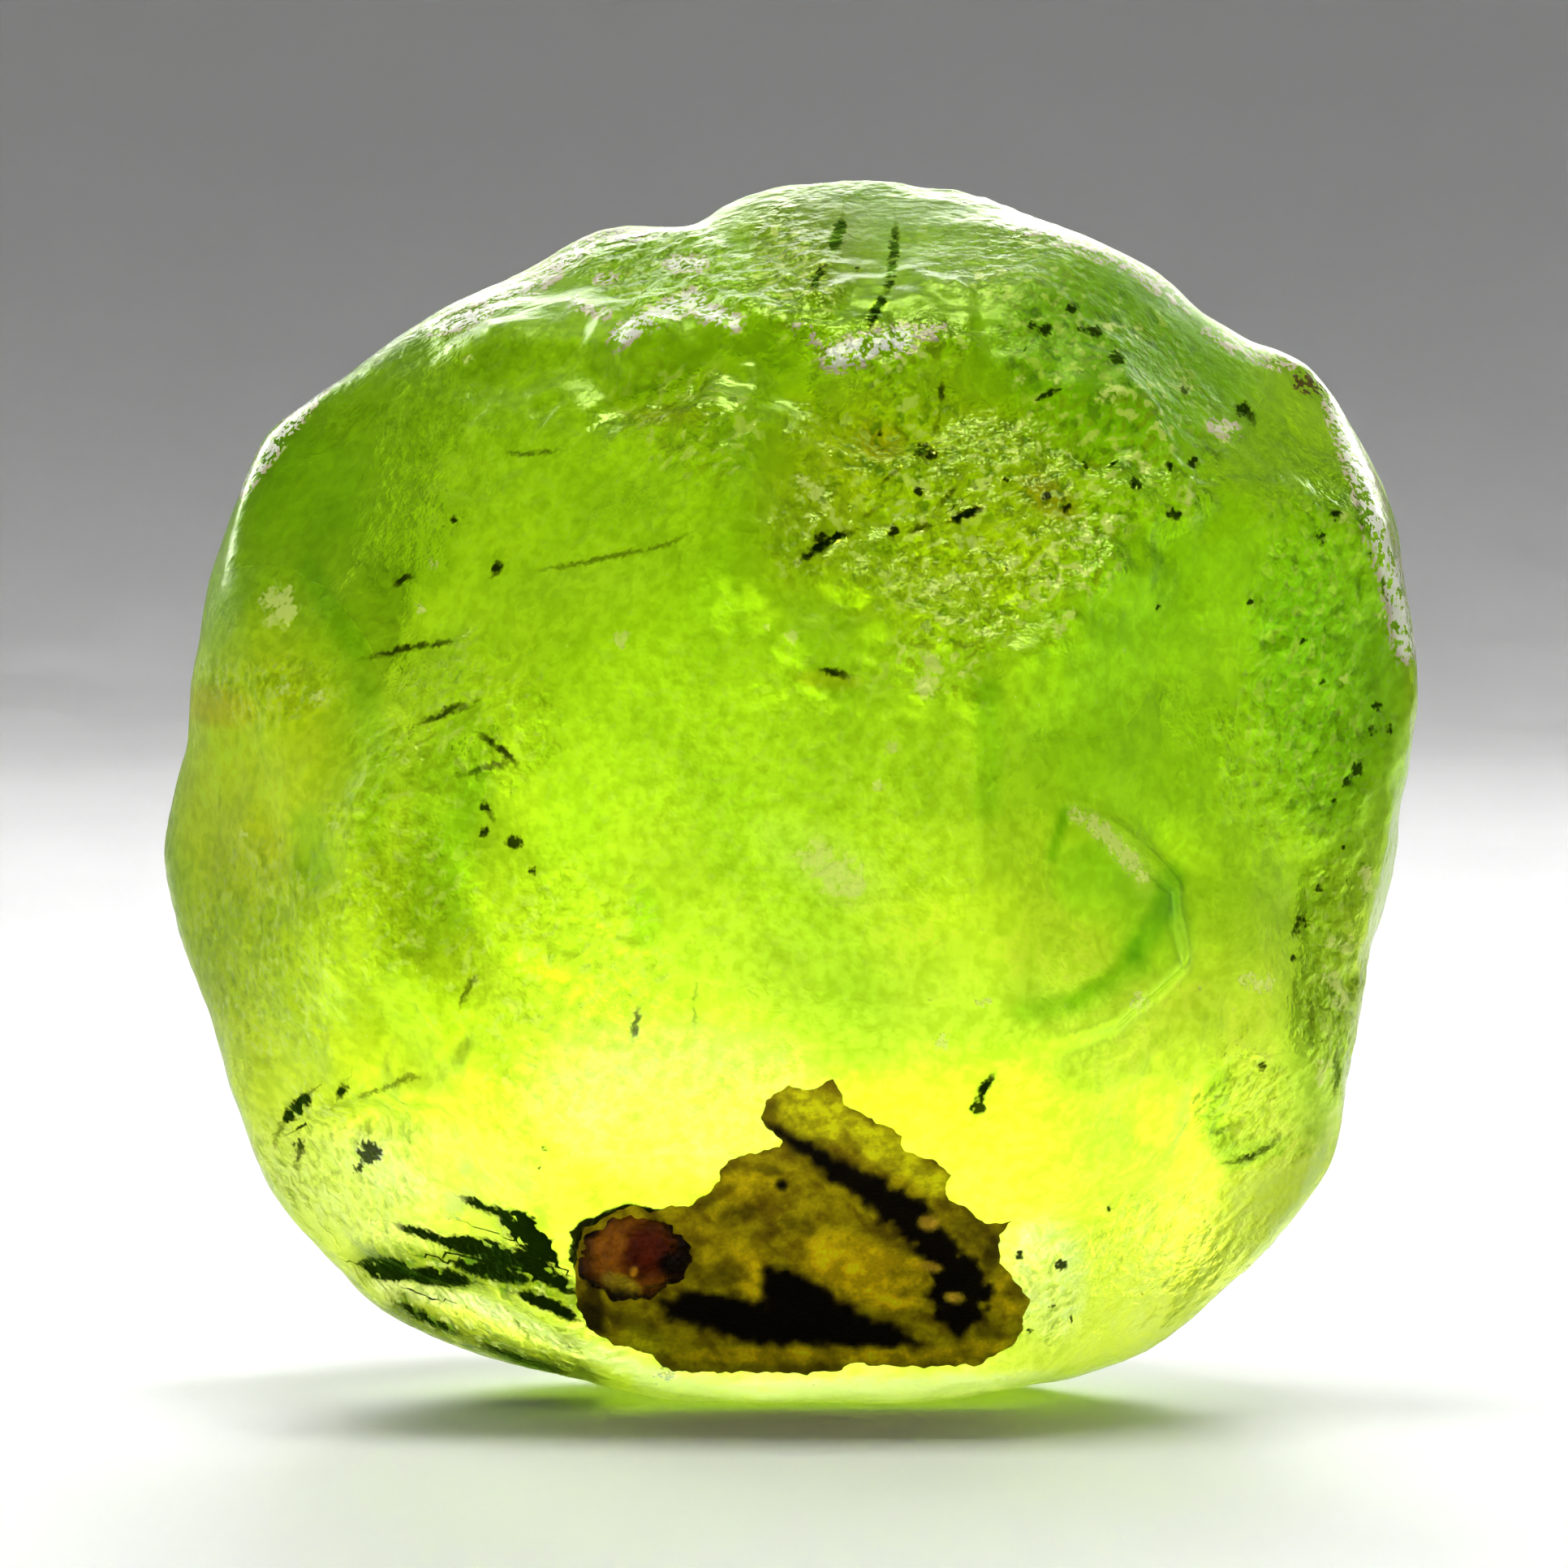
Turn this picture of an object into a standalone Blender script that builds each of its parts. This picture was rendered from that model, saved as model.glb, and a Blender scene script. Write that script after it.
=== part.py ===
"""A rough peridot crystal, worn round and etched, standing on the small flat at its base.

X runs to the right of the front view, Y away from the viewer and Z up. The origin is on the
surface that the stone stands on, under the middle of its box. Lengths are in millimetres until
a mesh is made, which is in metres.
"""

import math

import bmesh
import bpy
import numpy as np
from mathutils import Vector, noise

MM = 0.001

# Size of the stone
MIDDLE_Z = 7.35
FRONT_DEPTH = 6.1
BACK_DEPTH = 5.4
ROUNDNESS = 2.4
EDGE_BLEND = 0.30
LEAST_TOWARDS = 0.001

# The front view's outline, from the right and anticlockwise, as (x, z). It runs under z = 0
# at the foot, where the flat cuts it off.
OUTLINE = (
    (7.42, 7.25), (7.66, 8.65), (7.50, 10.05), (7.26, 11.30), (7.02, 12.30), (6.92, 12.78),
    (6.30, 12.76), (5.66, 12.90), (5.00, 13.28), (4.48, 13.80), (3.28, 14.34), (1.98, 14.78),
    (0.95, 15.02), (-0.05, 14.92), (-0.70, 14.68), (-1.22, 14.36), (-1.90, 14.38),
    (-2.50, 14.46), (-3.15, 13.92), (-4.26, 13.28), (-5.38, 12.58), (-6.50, 11.90),
    (-7.00, 10.66), (-7.27, 9.29), (-7.52, 7.97), (-7.73, 6.65), (-7.62, 5.83), (-7.22, 4.65),
    (-6.80, 3.35), (-6.26, 2.09), (-5.24, 1.18), (-3.96, 0.57), (-2.62, 0.20), (-1.38, -0.12),
    (0.70, -0.12), (2.60, 0.02), (3.40, 0.12), (4.04, 0.40), (4.66, 0.72), (5.72, 1.64),
    (6.62, 2.78), (6.83, 3.86), (7.06, 5.40),
)
CORNER_ROUNDING_DEG = 1.0
SMOOTH_OUTLINE_DEG = 9.0
OUTLINE_STEPS_PER_DEG = 4

# How far from the front view's edge, as a share of the way forward, its small corners last
CORNERS_LAST = 0.12
CORNERS_FADE = 0.45

# The stone's faces: azimuth from the front towards the right, elevation, and how far in the
# face cuts the rounded form
FACES = {
    "upper left window": (-30, 27, 1.10),
    "left flank": (-60, -4, 0.60),
    "middle window": (-6, -4, 0.75),
    "right window": (38, 0, 1.05),
    "rough scoop": (10, 33, 0.85),
    "upper right slope": (44, 40, 0.85),
    "top": (2, 66, 0.75),
    "top left shoulder": (-36, 60, 0.75),
    "right edge strip": (83, 26, 0.30),
    "lower right": (40, -34, 0.95),
    "lower left": (-42, -30, 0.90),
    "lower front": (3, -36, 0.95),
    "back window": (166, 8, 1.15),
    "back left": (-134, 6, 1.10),
    "back right": (126, -6, 1.05),
    "back top": (172, 48, 1.10),
    "back upper left": (-130, 44, 0.90),
    "back upper right": (120, 42, 0.90),
    "back lower": (-174, -36, 1.05),
    "back lower left": (-122, -36, 0.85),
    "back lower right": (130, -42, 0.85),
}

# Shallow hollows: azimuth, elevation, half width, half height, turn in degrees, depth
HOLLOWS = {
    "rough scoop": (14, 27, 2.5, 1.9, -24, 0.34),
    "valley under the top": (-16, 52, 2.3, 0.75, 8, 0.26),
    "valley right of it": (12, 47, 1.7, 0.6, -14, 0.24),
    "dish by the ledge": (27, 3, 1.3, 1.9, 12, 0.16),
    "chip at the right": (66, -14, 1.1, 1.5, 10, 0.20),
    "dent at lower left": (-47, -24, 1.3, 1.0, 30, 0.20),
    "dish at the left": (-50, 12, 1.2, 2.3, -10, 0.14),
    "back scallop": (158, 24, 2.8, 2.0, 25, 0.42),
    "back chip": (-150, -18, 1.9, 2.5, -20, 0.34),
    "back right dish": (112, 14, 1.9, 1.5, 40, 0.26),
    "back left dish": (-104, 22, 1.6, 2.2, 15, 0.26),
    "back foot dent": (150, -30, 1.7, 1.1, 0, 0.24),
    "left side scallop": (-92, -24, 1.7, 1.3, -30, 0.22),
    "crown dent": (120, 70, 1.7, 1.2, 30, 0.26),
}

# Lips and ledges of the front, as a line in the front view, its height and half width
LIPS = {
    "lip under the top, left": (
        ((-4.43, 12.77), (-3.33, 12.91), (-2.44, 13.10), (-1.94, 12.75), (-1.17, 13.17),
         (-0.58, 12.94)),
        0.20, 0.30,
    ),
    "lip under the top, right": (
        ((-0.10, 12.89), (0.38, 12.55), (1.06, 12.38), (1.74, 12.84), (3.09, 12.26),
         (4.66, 11.98)),
        0.18, 0.32,
    ),
    "left edge of the scoop": (
        ((1.42, 8.31), (0.85, 8.59), (-0.10, 9.64), (-0.38, 10.87), (-0.96, 12.01)), 0.10, 0.30,
    ),
    "right edge of the scoop": (
        ((4.13, 11.06), (3.82, 10.29), (2.85, 9.25), (1.80, 8.40)), 0.12, 0.28,
    ),
    "ledge right of the middle": (
        ((2.76, 4.68), (3.73, 4.94), (4.42, 5.58), (4.32, 6.35), (3.73, 6.95), (3.05, 7.44)),
        0.13, 0.24,
    ),
    "fold at the left": (
        ((-5.42, 9.02), (-4.99, 7.99), (-5.07, 6.95), (-4.50, 5.70)), 0.09, 0.28,
    ),
    "fold left of the middle": (
        ((-4.11, 7.81), (-3.73, 6.76), (-3.25, 5.81), (-2.10, 5.04)), 0.07, 0.26,
    ),
    "lower left rim": (
        ((-6.21, 3.57), (-5.15, 3.96), (-4.15, 3.98), (-3.46, 3.67)), 0.11, 0.22,
    ),
    "lower left ledge": (
        ((-5.54, 2.15), (-4.32, 1.74), (-3.12, 1.42), (-2.25, 0.80)), 0.13, 0.24,
    ),
}
VALLEY_SHARE, VALLEY_PLACE = 0.7, 1.6
LIP_SLOPE, LIP_DROP = 2.6, 0.8
LIP_TAPER = 0.9
LIP_UNEVENNESS, LIP_SPACING = 0.6, 1.1

# Etched patches, where the lumps stand higher: azimuth, elevation, half width, half height,
# lump height
ETCHED = {
    "rough scoop": (14, 27, 2.8, 2.3, 0.15),
    "top band": (0, 58, 5.2, 1.8, 0.13),
    "upper right": (42, 34, 2.4, 1.7, 0.13),
    "right edge": (72, 6, 1.8, 4.2, 0.08),
    "lower left": (-44, -28, 2.4, 1.9, 0.09),
    "left flank": (-58, -6, 1.9, 4.2, 0.06),
    "lower right swirl": (52, -30, 1.3, 1.3, 0.09),
    "back scallop": (158, 24, 3.1, 2.3, 0.14),
    "back left": (-120, -10, 2.8, 3.2, 0.10),
    "crown": (130, 66, 3.2, 2.2, 0.12),
    "back lower right": (128, -36, 2.7, 1.9, 0.11),
}
LUMP_SPACING = 0.62
SWELL_HEIGHT, SWELL_SPACING = 0.10, 2.6
RIPPLE_HEIGHT, RIPPLE_SPACING = 0.018, 0.8
SWELL_SEED, RIPPLE_SEED, LUMP_SEED, LIP_SEED = 1, 2, 3, 4
SEED_SHIFT = (7.3, 3.1, 5.7)
NOISE_FADE, NOISE_STEP = 0.9, 2.1

# Round pits: azimuth, elevation, radius, depth
PITS = (
    (43, 38, 0.36, 0.20), (61, 17, 0.20, 0.12), (66, 9, 0.17, 0.10), (71, 2, 0.22, 0.13),
    (-40, -24, 0.24, 0.14), (60, -33, 0.30, 0.12), (73, -17, 0.26, 0.14), (8, 24, 0.22, 0.13),
    (150, 18, 0.30, 0.15), (-148, 30, 0.26, 0.12), (172, -14, 0.24, 0.12), (-118, -8, 0.30, 0.14),
)

# Dressing of the mesh
SPHERE_STEPS = 7
CRYSTAL_TRIANGLES = 8200
FORM_TRIANGLES = 4000

# The brown, iron-stained inclusion in the lower front, as (x, z), clockwise from its upper lobe
INCLUSION = (
    (-0.35, 3.71), (-0.27, 3.99), (0.02, 4.12), (0.42, 4.14), (0.69, 3.89), (0.97, 3.64),
    (1.28, 3.48), (1.36, 3.24), (1.71, 3.11), (1.91, 2.95), (1.77, 2.68), (2.20, 2.59),
    (2.36, 2.41), (2.67, 2.43), (2.48, 2.14), (2.52, 1.83), (2.78, 1.61), (2.89, 1.38),
    (2.80, 1.00), (2.51, 0.73), (1.98, 0.63), (1.17, 0.57), (0.43, 0.55), (-0.49, 0.54),
    (-1.18, 0.58), (-1.78, 0.76), (-2.28, 0.95), (-2.49, 1.31), (-2.54, 1.75), (-2.48, 2.23),
    (-2.22, 2.47), (-1.55, 2.57), (-1.12, 2.59), (-0.85, 2.83), (-0.79, 3.10), (-0.56, 3.28),
    (-0.21, 3.38),
)
CUTTER_REACH = 8.0
POCKET_DEPTH = 1.0
LEAST_CORNER = 0.5
SUNK = 0.05
GAP = 0.06

# The red-brown grain at the inclusion's left end
GRAIN_PLACE = (-1.87, -3.22, 1.98)
GRAIN_HALF = (0.70, 0.52, 0.60)
GRAIN_ROUGHNESS, GRAIN_LUMPS = 0.13, 2.2
GRAIN_STEPS = 3

# How the three minerals look: colour, and roughness
PERIDOT = ((0.33, 0.55, 0.03), 0.12)
BROWN = ((0.30, 0.22, 0.02), 0.55)
RED_BROWN = ((0.11, 0.03, 0.008), 0.35)
SHARP_EDGE_DEG = 35


def direction(azimuth, elevation):
    """The unit vector that way, with azimuth 0 at the front and 90 at the right."""
    a, e = math.radians(azimuth), math.radians(elevation)
    return np.array((math.sin(a) * math.cos(e), -math.cos(a) * math.cos(e), math.sin(e)))


def clear_scene():
    for thing in list(bpy.data.objects):
        bpy.data.objects.remove(thing)


def material(name, colour, roughness):
    made = bpy.data.materials.new(name)
    made.use_nodes = True
    shader = made.node_tree.nodes["Principled BSDF"]
    shader.inputs["Base Color"].default_value = (*colour, 1.0)
    shader.inputs["Roughness"].default_value = roughness
    shader.inputs["Metallic"].default_value = 0.0
    return made


def add_object(name, mesh, finish=None):
    thing = bpy.data.objects.new(name, mesh)
    bpy.context.scene.collection.objects.link(thing)
    if finish:
        mesh.materials.append(finish)
    return thing


def as_helper(thing):
    thing.hide_render = True
    thing.display_type = "WIRE"
    return thing


def add_boolean(thing, operation, other):
    modifier = thing.modifiers.new(f"{operation.lower()} {other.name}", "BOOLEAN")
    modifier.operation = operation
    modifier.solver = "EXACT"
    modifier.object = other


def turning_average(values, spread):
    """Values round a full turn, averaged with a bell of that spread in samples."""
    count = len(values)
    steps = np.minimum(np.arange(count), count - np.arange(count))
    bell = np.exp(-0.5 * (steps / spread) ** 2)
    mixed = np.fft.ifft(np.fft.fft(values) * np.fft.fft(bell / bell.sum()))
    return mixed.real


def outline_radius():
    """Two functions of the angle in the front view: the outline's radius, and a smoother one."""
    points = np.array(OUTLINE) - (0.0, MIDDLE_Z)
    angles = np.degrees(np.arctan2(points[:, 1], points[:, 0])) % 360
    order = np.argsort(angles)
    turn = np.arange(360 * OUTLINE_STEPS_PER_DEG) / OUTLINE_STEPS_PER_DEG
    radii = np.interp(turn, angles[order], np.hypot(*points.T)[order], period=360)
    close = turning_average(radii, CORNER_ROUNDING_DEG * OUTLINE_STEPS_PER_DEG)
    smooth = turning_average(radii, SMOOTH_OUTLINE_DEG * OUTLINE_STEPS_PER_DEG)
    return (
        lambda angle: np.interp(angle, turn, close, period=360),
        lambda angle: np.interp(angle, turn, smooth, period=360),
    )


def rounded_form(ways):
    """How far the plain rounded stone reaches each way, from its middle."""
    across, deep = np.hypot(ways[:, 0], ways[:, 2]), np.abs(ways[:, 1])
    angle = np.degrees(np.arctan2(ways[:, 2], ways[:, 0])) % 360
    close, smooth = outline_radius()
    fade = np.clip((deep - CORNERS_LAST) / CORNERS_FADE, 0, 1)
    fade = fade * fade * (3 - 2 * fade)
    radius = close(angle) * (1 - fade) + smooth(angle) * fade
    depth = np.where(ways[:, 1] < 0, FRONT_DEPTH, BACK_DEPTH)
    return ((across / radius) ** ROUNDNESS + (deep / depth) ** ROUNDNESS) ** (-1 / ROUNDNESS)


def blended_minimum(a, b, width):
    near = np.maximum(width - np.abs(a - b), 0) / width
    return np.minimum(a, b) - near * near * width / 4


def cut_faces(ways, reach):
    """The reach each way once the stone's faces have cut it, with worn edges between them."""
    form = ways * reach[:, None]
    cut = reach.copy()
    for azimuth, elevation, depth in FACES.values():
        normal = direction(azimuth, elevation)
        distance = (form @ normal).max() - depth
        towards = np.maximum(ways @ normal, LEAST_TOWARDS)
        cut = blended_minimum(cut, distance / towards, EDGE_BLEND)
    return cut


def patch(points, azimuth, elevation, half_width, half_height, turn=0.0):
    """0 outside a patch of the surface to 1 at its middle, which lies that way from the middle."""
    middle = direction(azimuth, elevation)
    right = np.cross(-middle, (0, 0, 1))
    right /= np.linalg.norm(right)
    up = np.cross(right, -middle)
    spot = points[np.argmax(points @ middle / np.linalg.norm(points, axis=1))]
    offset = points - spot
    c, s = math.cos(math.radians(turn)), math.sin(math.radians(turn))
    u, v = offset @ right, offset @ up
    along, over = (c * u + s * v) / half_width, (c * v - s * u) / half_height
    share = np.clip(1 - along**2 - over**2, 0, 1)
    return np.where(points @ middle > 0, share * share, 0)


def lip(points, line, height, half_width):
    """A ledge on the front along a line, gentle above it, steep and then hollow below it."""
    spot, ends = points[:, (0, 2)], np.array(line)
    lengths = np.hypot(*(ends[1:] - ends[:-1]).T)
    nearest = np.full(len(points), np.inf)
    side, place = np.zeros(len(points)), np.zeros(len(points))
    for first, last, length, start in zip(ends[:-1], ends[1:], lengths, np.cumsum(lengths)):
        along = (last - first) / length
        share = np.clip((spot - first) @ along / length, 0, 1)
        offset = spot - (first + share[:, None] * (last - first))
        distance = np.hypot(*offset.T)
        closer = distance < nearest
        side = np.where(closer, along[0] * offset[:, 1] - along[1] * offset[:, 0], side)
        place = np.where(closer, start + (share - 1) * length, place)
        nearest = np.minimum(nearest, distance)
    spread = np.where(side >= 0, LIP_SLOPE, LIP_DROP) * half_width
    raised = np.exp(-((nearest / spread) ** 2))
    hollow = np.exp(-((nearest / half_width - VALLEY_PLACE) ** 2)) * (side < 0)
    taper = np.clip(np.minimum(place, lengths.sum() - place) / LIP_TAPER, 0, 1)
    front = np.clip(-points[:, 1] / LIP_TAPER, 0, 1)
    return height * taper * front * (raised - VALLEY_SHARE * hollow)


def lumps(points, spacing, octaves, seed):
    """Smooth noise at each point, about -1 to 1."""
    shift = Vector(SEED_SHIFT) * seed
    return np.array(
        [
            noise.fractal(Vector(p) / spacing + shift, NOISE_FADE, NOISE_STEP, octaves)
            for p in points
        ]
    )


def relief(points):
    """How far the surface stands out from the faces at each point."""
    height = SWELL_HEIGHT * lumps(points, SWELL_SPACING, 2, SWELL_SEED)
    height += RIPPLE_HEIGHT * lumps(points, RIPPLE_SPACING, 2, RIPPLE_SEED)
    for azimuth, elevation, half_width, half_height, turn, depth in HOLLOWS.values():
        height -= depth * patch(points, azimuth, elevation, half_width, half_height, turn)
    uneven = 1 + LIP_UNEVENNESS * lumps(points, LIP_SPACING, 2, LIP_SEED)
    for line, tall, half_width in LIPS.values():
        height += uneven * lip(points + (0, 0, MIDDLE_Z), line, tall, half_width)
    rough = np.zeros(len(points))
    for azimuth, elevation, half_width, half_height, lump in ETCHED.values():
        share = np.sqrt(patch(points, azimuth, elevation, half_width, half_height))
        rough = np.maximum(rough, lump * share)
    height += rough * lumps(points, LUMP_SPACING, 3, LUMP_SEED)
    for azimuth, elevation, radius, depth in PITS:
        height -= depth * patch(points, azimuth, elevation, radius, radius)
    return height


def stone_mesh():
    """The whole stone as one closed mesh in metres, with no pocket and no foot cut yet."""
    bm = bmesh.new()
    bmesh.ops.create_icosphere(bm, subdivisions=SPHERE_STEPS, radius=1.0)
    ways = np.array([vertex.co.normalized() for vertex in bm.verts])
    reach = cut_faces(ways, rounded_form(ways))
    points = ways * reach[:, None]
    points += ways * relief(points)[:, None]
    points[:, 2] += MIDDLE_Z
    for vertex, place in zip(bm.verts, points):
        vertex.co = place * MM
    mesh = bpy.data.meshes.new("stone")
    bm.to_mesh(mesh)
    bm.free()
    return mesh


def thinned(mesh, triangles):
    """That mesh with about that many triangles, fewest where it is flat."""
    thing = add_object("to_thin", mesh)
    decimate = thing.modifiers.new("thin out", "DECIMATE")
    decimate.ratio = triangles / len(mesh.polygons)
    graph = bpy.context.evaluated_depsgraph_get()
    thin = bpy.data.meshes.new_from_object(thing.evaluated_get(graph))
    bpy.data.objects.remove(thing)
    return thin


def centre(meshes):
    """Moves the meshes alike, so that the first one's box is centred over the origin."""
    places = np.array([vertex.co for vertex in meshes[0].vertices])
    middle = (places.min(axis=0) + places.max(axis=0)) / 2
    for mesh in meshes:
        for vertex in mesh.vertices:
            vertex.co.x -= middle[0]
            vertex.co.y -= middle[1]


def cut_foot(mesh):
    """Cuts the mesh off flat at z = 0 and closes it there with one flat face."""
    bm = bmesh.new()
    bm.from_mesh(mesh)
    cut = bmesh.ops.bisect_plane(
        bm,
        geom=bm.verts[:] + bm.edges[:] + bm.faces[:],
        plane_co=(0, 0, 0),
        plane_no=(0, 0, -1),
        clear_outer=True,
    )
    rim = [piece for piece in cut["geom_cut"] if isinstance(piece, bmesh.types.BMEdge)]
    bmesh.ops.holes_fill(bm, edges=rim, sides=0)
    bmesh.ops.triangulate(bm, faces=bm.faces[:])
    bm.to_mesh(mesh)
    bm.free()


def stone_set_back(name, mesh, depth):
    """A helper: the stone moved that far back, so that its front makes a floor of even depth."""
    copy = mesh.copy()
    for vertex in copy.vertices:
        vertex.co.y += depth * MM
    return as_helper(add_object(name, copy))


def inset(points, distance):
    """The outline's points moved in by that distance, each along the line that halves its corner."""
    count, moved = len(points), []
    for i in range(count):
        before, here, after = (Vector(points[(i + k) % count]) for k in (-1, 0, 1))
        first, second = (here - before).normalized(), (after - here).normalized()
        inward = Vector((first.y + second.y, -first.x - second.x))
        spread = max(inward.length / 2, LEAST_CORNER)
        moved.append(here + inward.normalized() * distance / spread)
    return moved


def prism(name, points, finish=None):
    """A solid with that outline in the front view, from in front of the stone to its middle."""
    bm = bmesh.new()
    front = [bm.verts.new((x * MM, -CUTTER_REACH * MM, z * MM)) for x, z in points]
    face = bm.faces.new(front)
    made = bmesh.ops.extrude_face_region(bm, geom=[face])["geom"]
    moved = [piece for piece in made if isinstance(piece, bmesh.types.BMVert)]
    bmesh.ops.translate(bm, verts=moved, vec=(0, CUTTER_REACH * MM, 0))
    bmesh.ops.recalc_face_normals(bm, faces=bm.faces[:])
    bmesh.ops.triangulate(bm, faces=bm.faces[:])
    mesh = bpy.data.meshes.new(name)
    bm.to_mesh(mesh)
    bm.free()
    return add_object(name, mesh, finish)


def grain(name, grown, finish=None):
    """The lumpy grain, or with grown over 0 the seat that holds it with that much room."""
    bm = bmesh.new()
    bmesh.ops.create_icosphere(bm, subdivisions=GRAIN_STEPS, radius=1.0)
    for vertex in bm.verts:
        way = vertex.co.normalized()
        uneven = noise.fractal(way * GRAIN_LUMPS, NOISE_FADE, NOISE_STEP, 3)
        size = 1 + GRAIN_ROUGHNESS * uneven
        half = Vector(h + grown for h in GRAIN_HALF)
        vertex.co = (Vector(GRAIN_PLACE) + way * size * half) * MM
    mesh = bpy.data.meshes.new(name)
    bm.to_mesh(mesh)
    bm.free()
    return add_object(name, mesh, finish)


def shade(thing, angle):
    thing.data.shade_smooth()
    thing.data.set_sharp_from_angle(angle=math.radians(angle))


def build():
    clear_scene()
    green = material("peridot", *PERIDOT)
    brown = material("iron_stained_matrix", *BROWN)
    red = material("red_brown_mineral", *RED_BROWN)

    fine = stone_mesh()
    stone = thinned(fine, CRYSTAL_TRIANGLES)
    form = thinned(fine, FORM_TRIANGLES)
    centre((stone, form))
    cut_foot(stone)
    crystal = add_object("peridot_crystal", stone, green)
    pocket = as_helper(prism("pocket_cutter", INCLUSION))
    add_boolean(pocket, "DIFFERENCE", stone_set_back("pocket_floor", form, POCKET_DEPTH))
    seat = as_helper(grain("grain_seat", GAP))
    add_boolean(crystal, "DIFFERENCE", pocket)
    add_boolean(crystal, "DIFFERENCE", seat)

    inclusion = prism("iron_stained_inclusion", inset(INCLUSION, GAP), brown)
    add_boolean(inclusion, "INTERSECT", stone_set_back("inclusion_top", form, SUNK))
    floor = stone_set_back("inclusion_floor", form, POCKET_DEPTH - GAP)
    add_boolean(inclusion, "DIFFERENCE", floor)
    add_boolean(inclusion, "DIFFERENCE", seat)
    speck = grain("red_brown_grain", 0.0, red)

    for thing in (crystal, inclusion, speck):
        shade(thing, SHARP_EDGE_DEG)


build()
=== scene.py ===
"""The looks of a rough peridot crystal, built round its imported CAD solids.

Lengths are in millimetres until a mesh is made, which is in metres. X runs to the right of the
front view, Y away from the viewer and Z up.
"""

import math

import bmesh
import bpy
import numpy as np
from mathutils import Matrix, Vector, noise
from mathutils.bvhtree import BVHTree
from mathutils.geometry import delaunay_2d_cdt


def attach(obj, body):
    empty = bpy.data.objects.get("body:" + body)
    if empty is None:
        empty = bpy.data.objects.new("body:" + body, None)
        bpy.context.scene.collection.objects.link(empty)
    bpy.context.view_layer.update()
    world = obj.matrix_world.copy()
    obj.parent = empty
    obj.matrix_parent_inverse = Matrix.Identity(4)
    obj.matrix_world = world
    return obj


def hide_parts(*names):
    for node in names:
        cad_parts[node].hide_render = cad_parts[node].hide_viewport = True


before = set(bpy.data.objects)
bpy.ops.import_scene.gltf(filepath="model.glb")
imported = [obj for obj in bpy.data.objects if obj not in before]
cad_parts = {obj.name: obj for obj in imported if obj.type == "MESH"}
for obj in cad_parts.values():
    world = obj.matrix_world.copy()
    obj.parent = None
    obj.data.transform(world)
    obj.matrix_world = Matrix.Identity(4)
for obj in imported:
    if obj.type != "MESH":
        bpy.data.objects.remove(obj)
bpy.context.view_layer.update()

MM = 0.001

# The stone's form, from the same values as its solid
MIDDLE_Z = 7.35
FRONT_DEPTH = 6.1
BACK_DEPTH = 5.4
ROUNDNESS = 2.4
EDGE_BLEND = 0.30
LEAST_TOWARDS = 0.001
OUTLINE = (
    (7.42, 7.25), (7.66, 8.65), (7.50, 10.05), (7.26, 11.30), (7.02, 12.30), (6.92, 12.78),
    (6.30, 12.76), (5.66, 12.90), (5.00, 13.28), (4.48, 13.80), (3.28, 14.34), (1.98, 14.78),
    (0.95, 15.02), (-0.05, 14.92), (-0.70, 14.68), (-1.22, 14.36), (-1.90, 14.38),
    (-2.50, 14.46), (-3.15, 13.92), (-4.26, 13.28), (-5.38, 12.58), (-6.50, 11.90),
    (-7.00, 10.66), (-7.27, 9.29), (-7.52, 7.97), (-7.73, 6.65), (-7.62, 5.83), (-7.22, 4.65),
    (-6.80, 3.35), (-6.26, 2.09), (-5.24, 1.18), (-3.96, 0.57), (-2.62, 0.20), (-1.38, -0.12),
    (0.70, -0.12), (2.60, 0.02), (3.40, 0.12), (4.04, 0.40), (4.66, 0.72), (5.72, 1.64),
    (6.62, 2.78), (6.83, 3.86), (7.06, 5.40),
)
CORNER_ROUNDING_DEG = 1.0
SMOOTH_OUTLINE_DEG = 9.0
OUTLINE_STEPS_PER_DEG = 4
CORNERS_LAST = 0.12
CORNERS_FADE = 0.45
FACES = {
    "upper left window": (-30, 27, 1.10),
    "left flank": (-60, -4, 0.60),
    "middle window": (-6, -4, 0.75),
    "right window": (38, 0, 1.05),
    "rough scoop": (10, 33, 0.85),
    "upper right slope": (44, 40, 0.85),
    "top": (2, 66, 0.75),
    "top left shoulder": (-36, 60, 0.75),
    "right edge strip": (83, 26, 0.30),
    "lower right": (40, -34, 0.95),
    "lower left": (-42, -30, 0.90),
    "lower front": (3, -36, 0.95),
    "back window": (166, 8, 1.15),
    "back left": (-134, 6, 1.10),
    "back right": (126, -6, 1.05),
    "back top": (172, 48, 1.10),
    "back upper left": (-130, 44, 0.90),
    "back upper right": (120, 42, 0.90),
    "back lower": (-174, -36, 1.05),
    "back lower left": (-122, -36, 0.85),
    "back lower right": (130, -42, 0.85),
}
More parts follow.
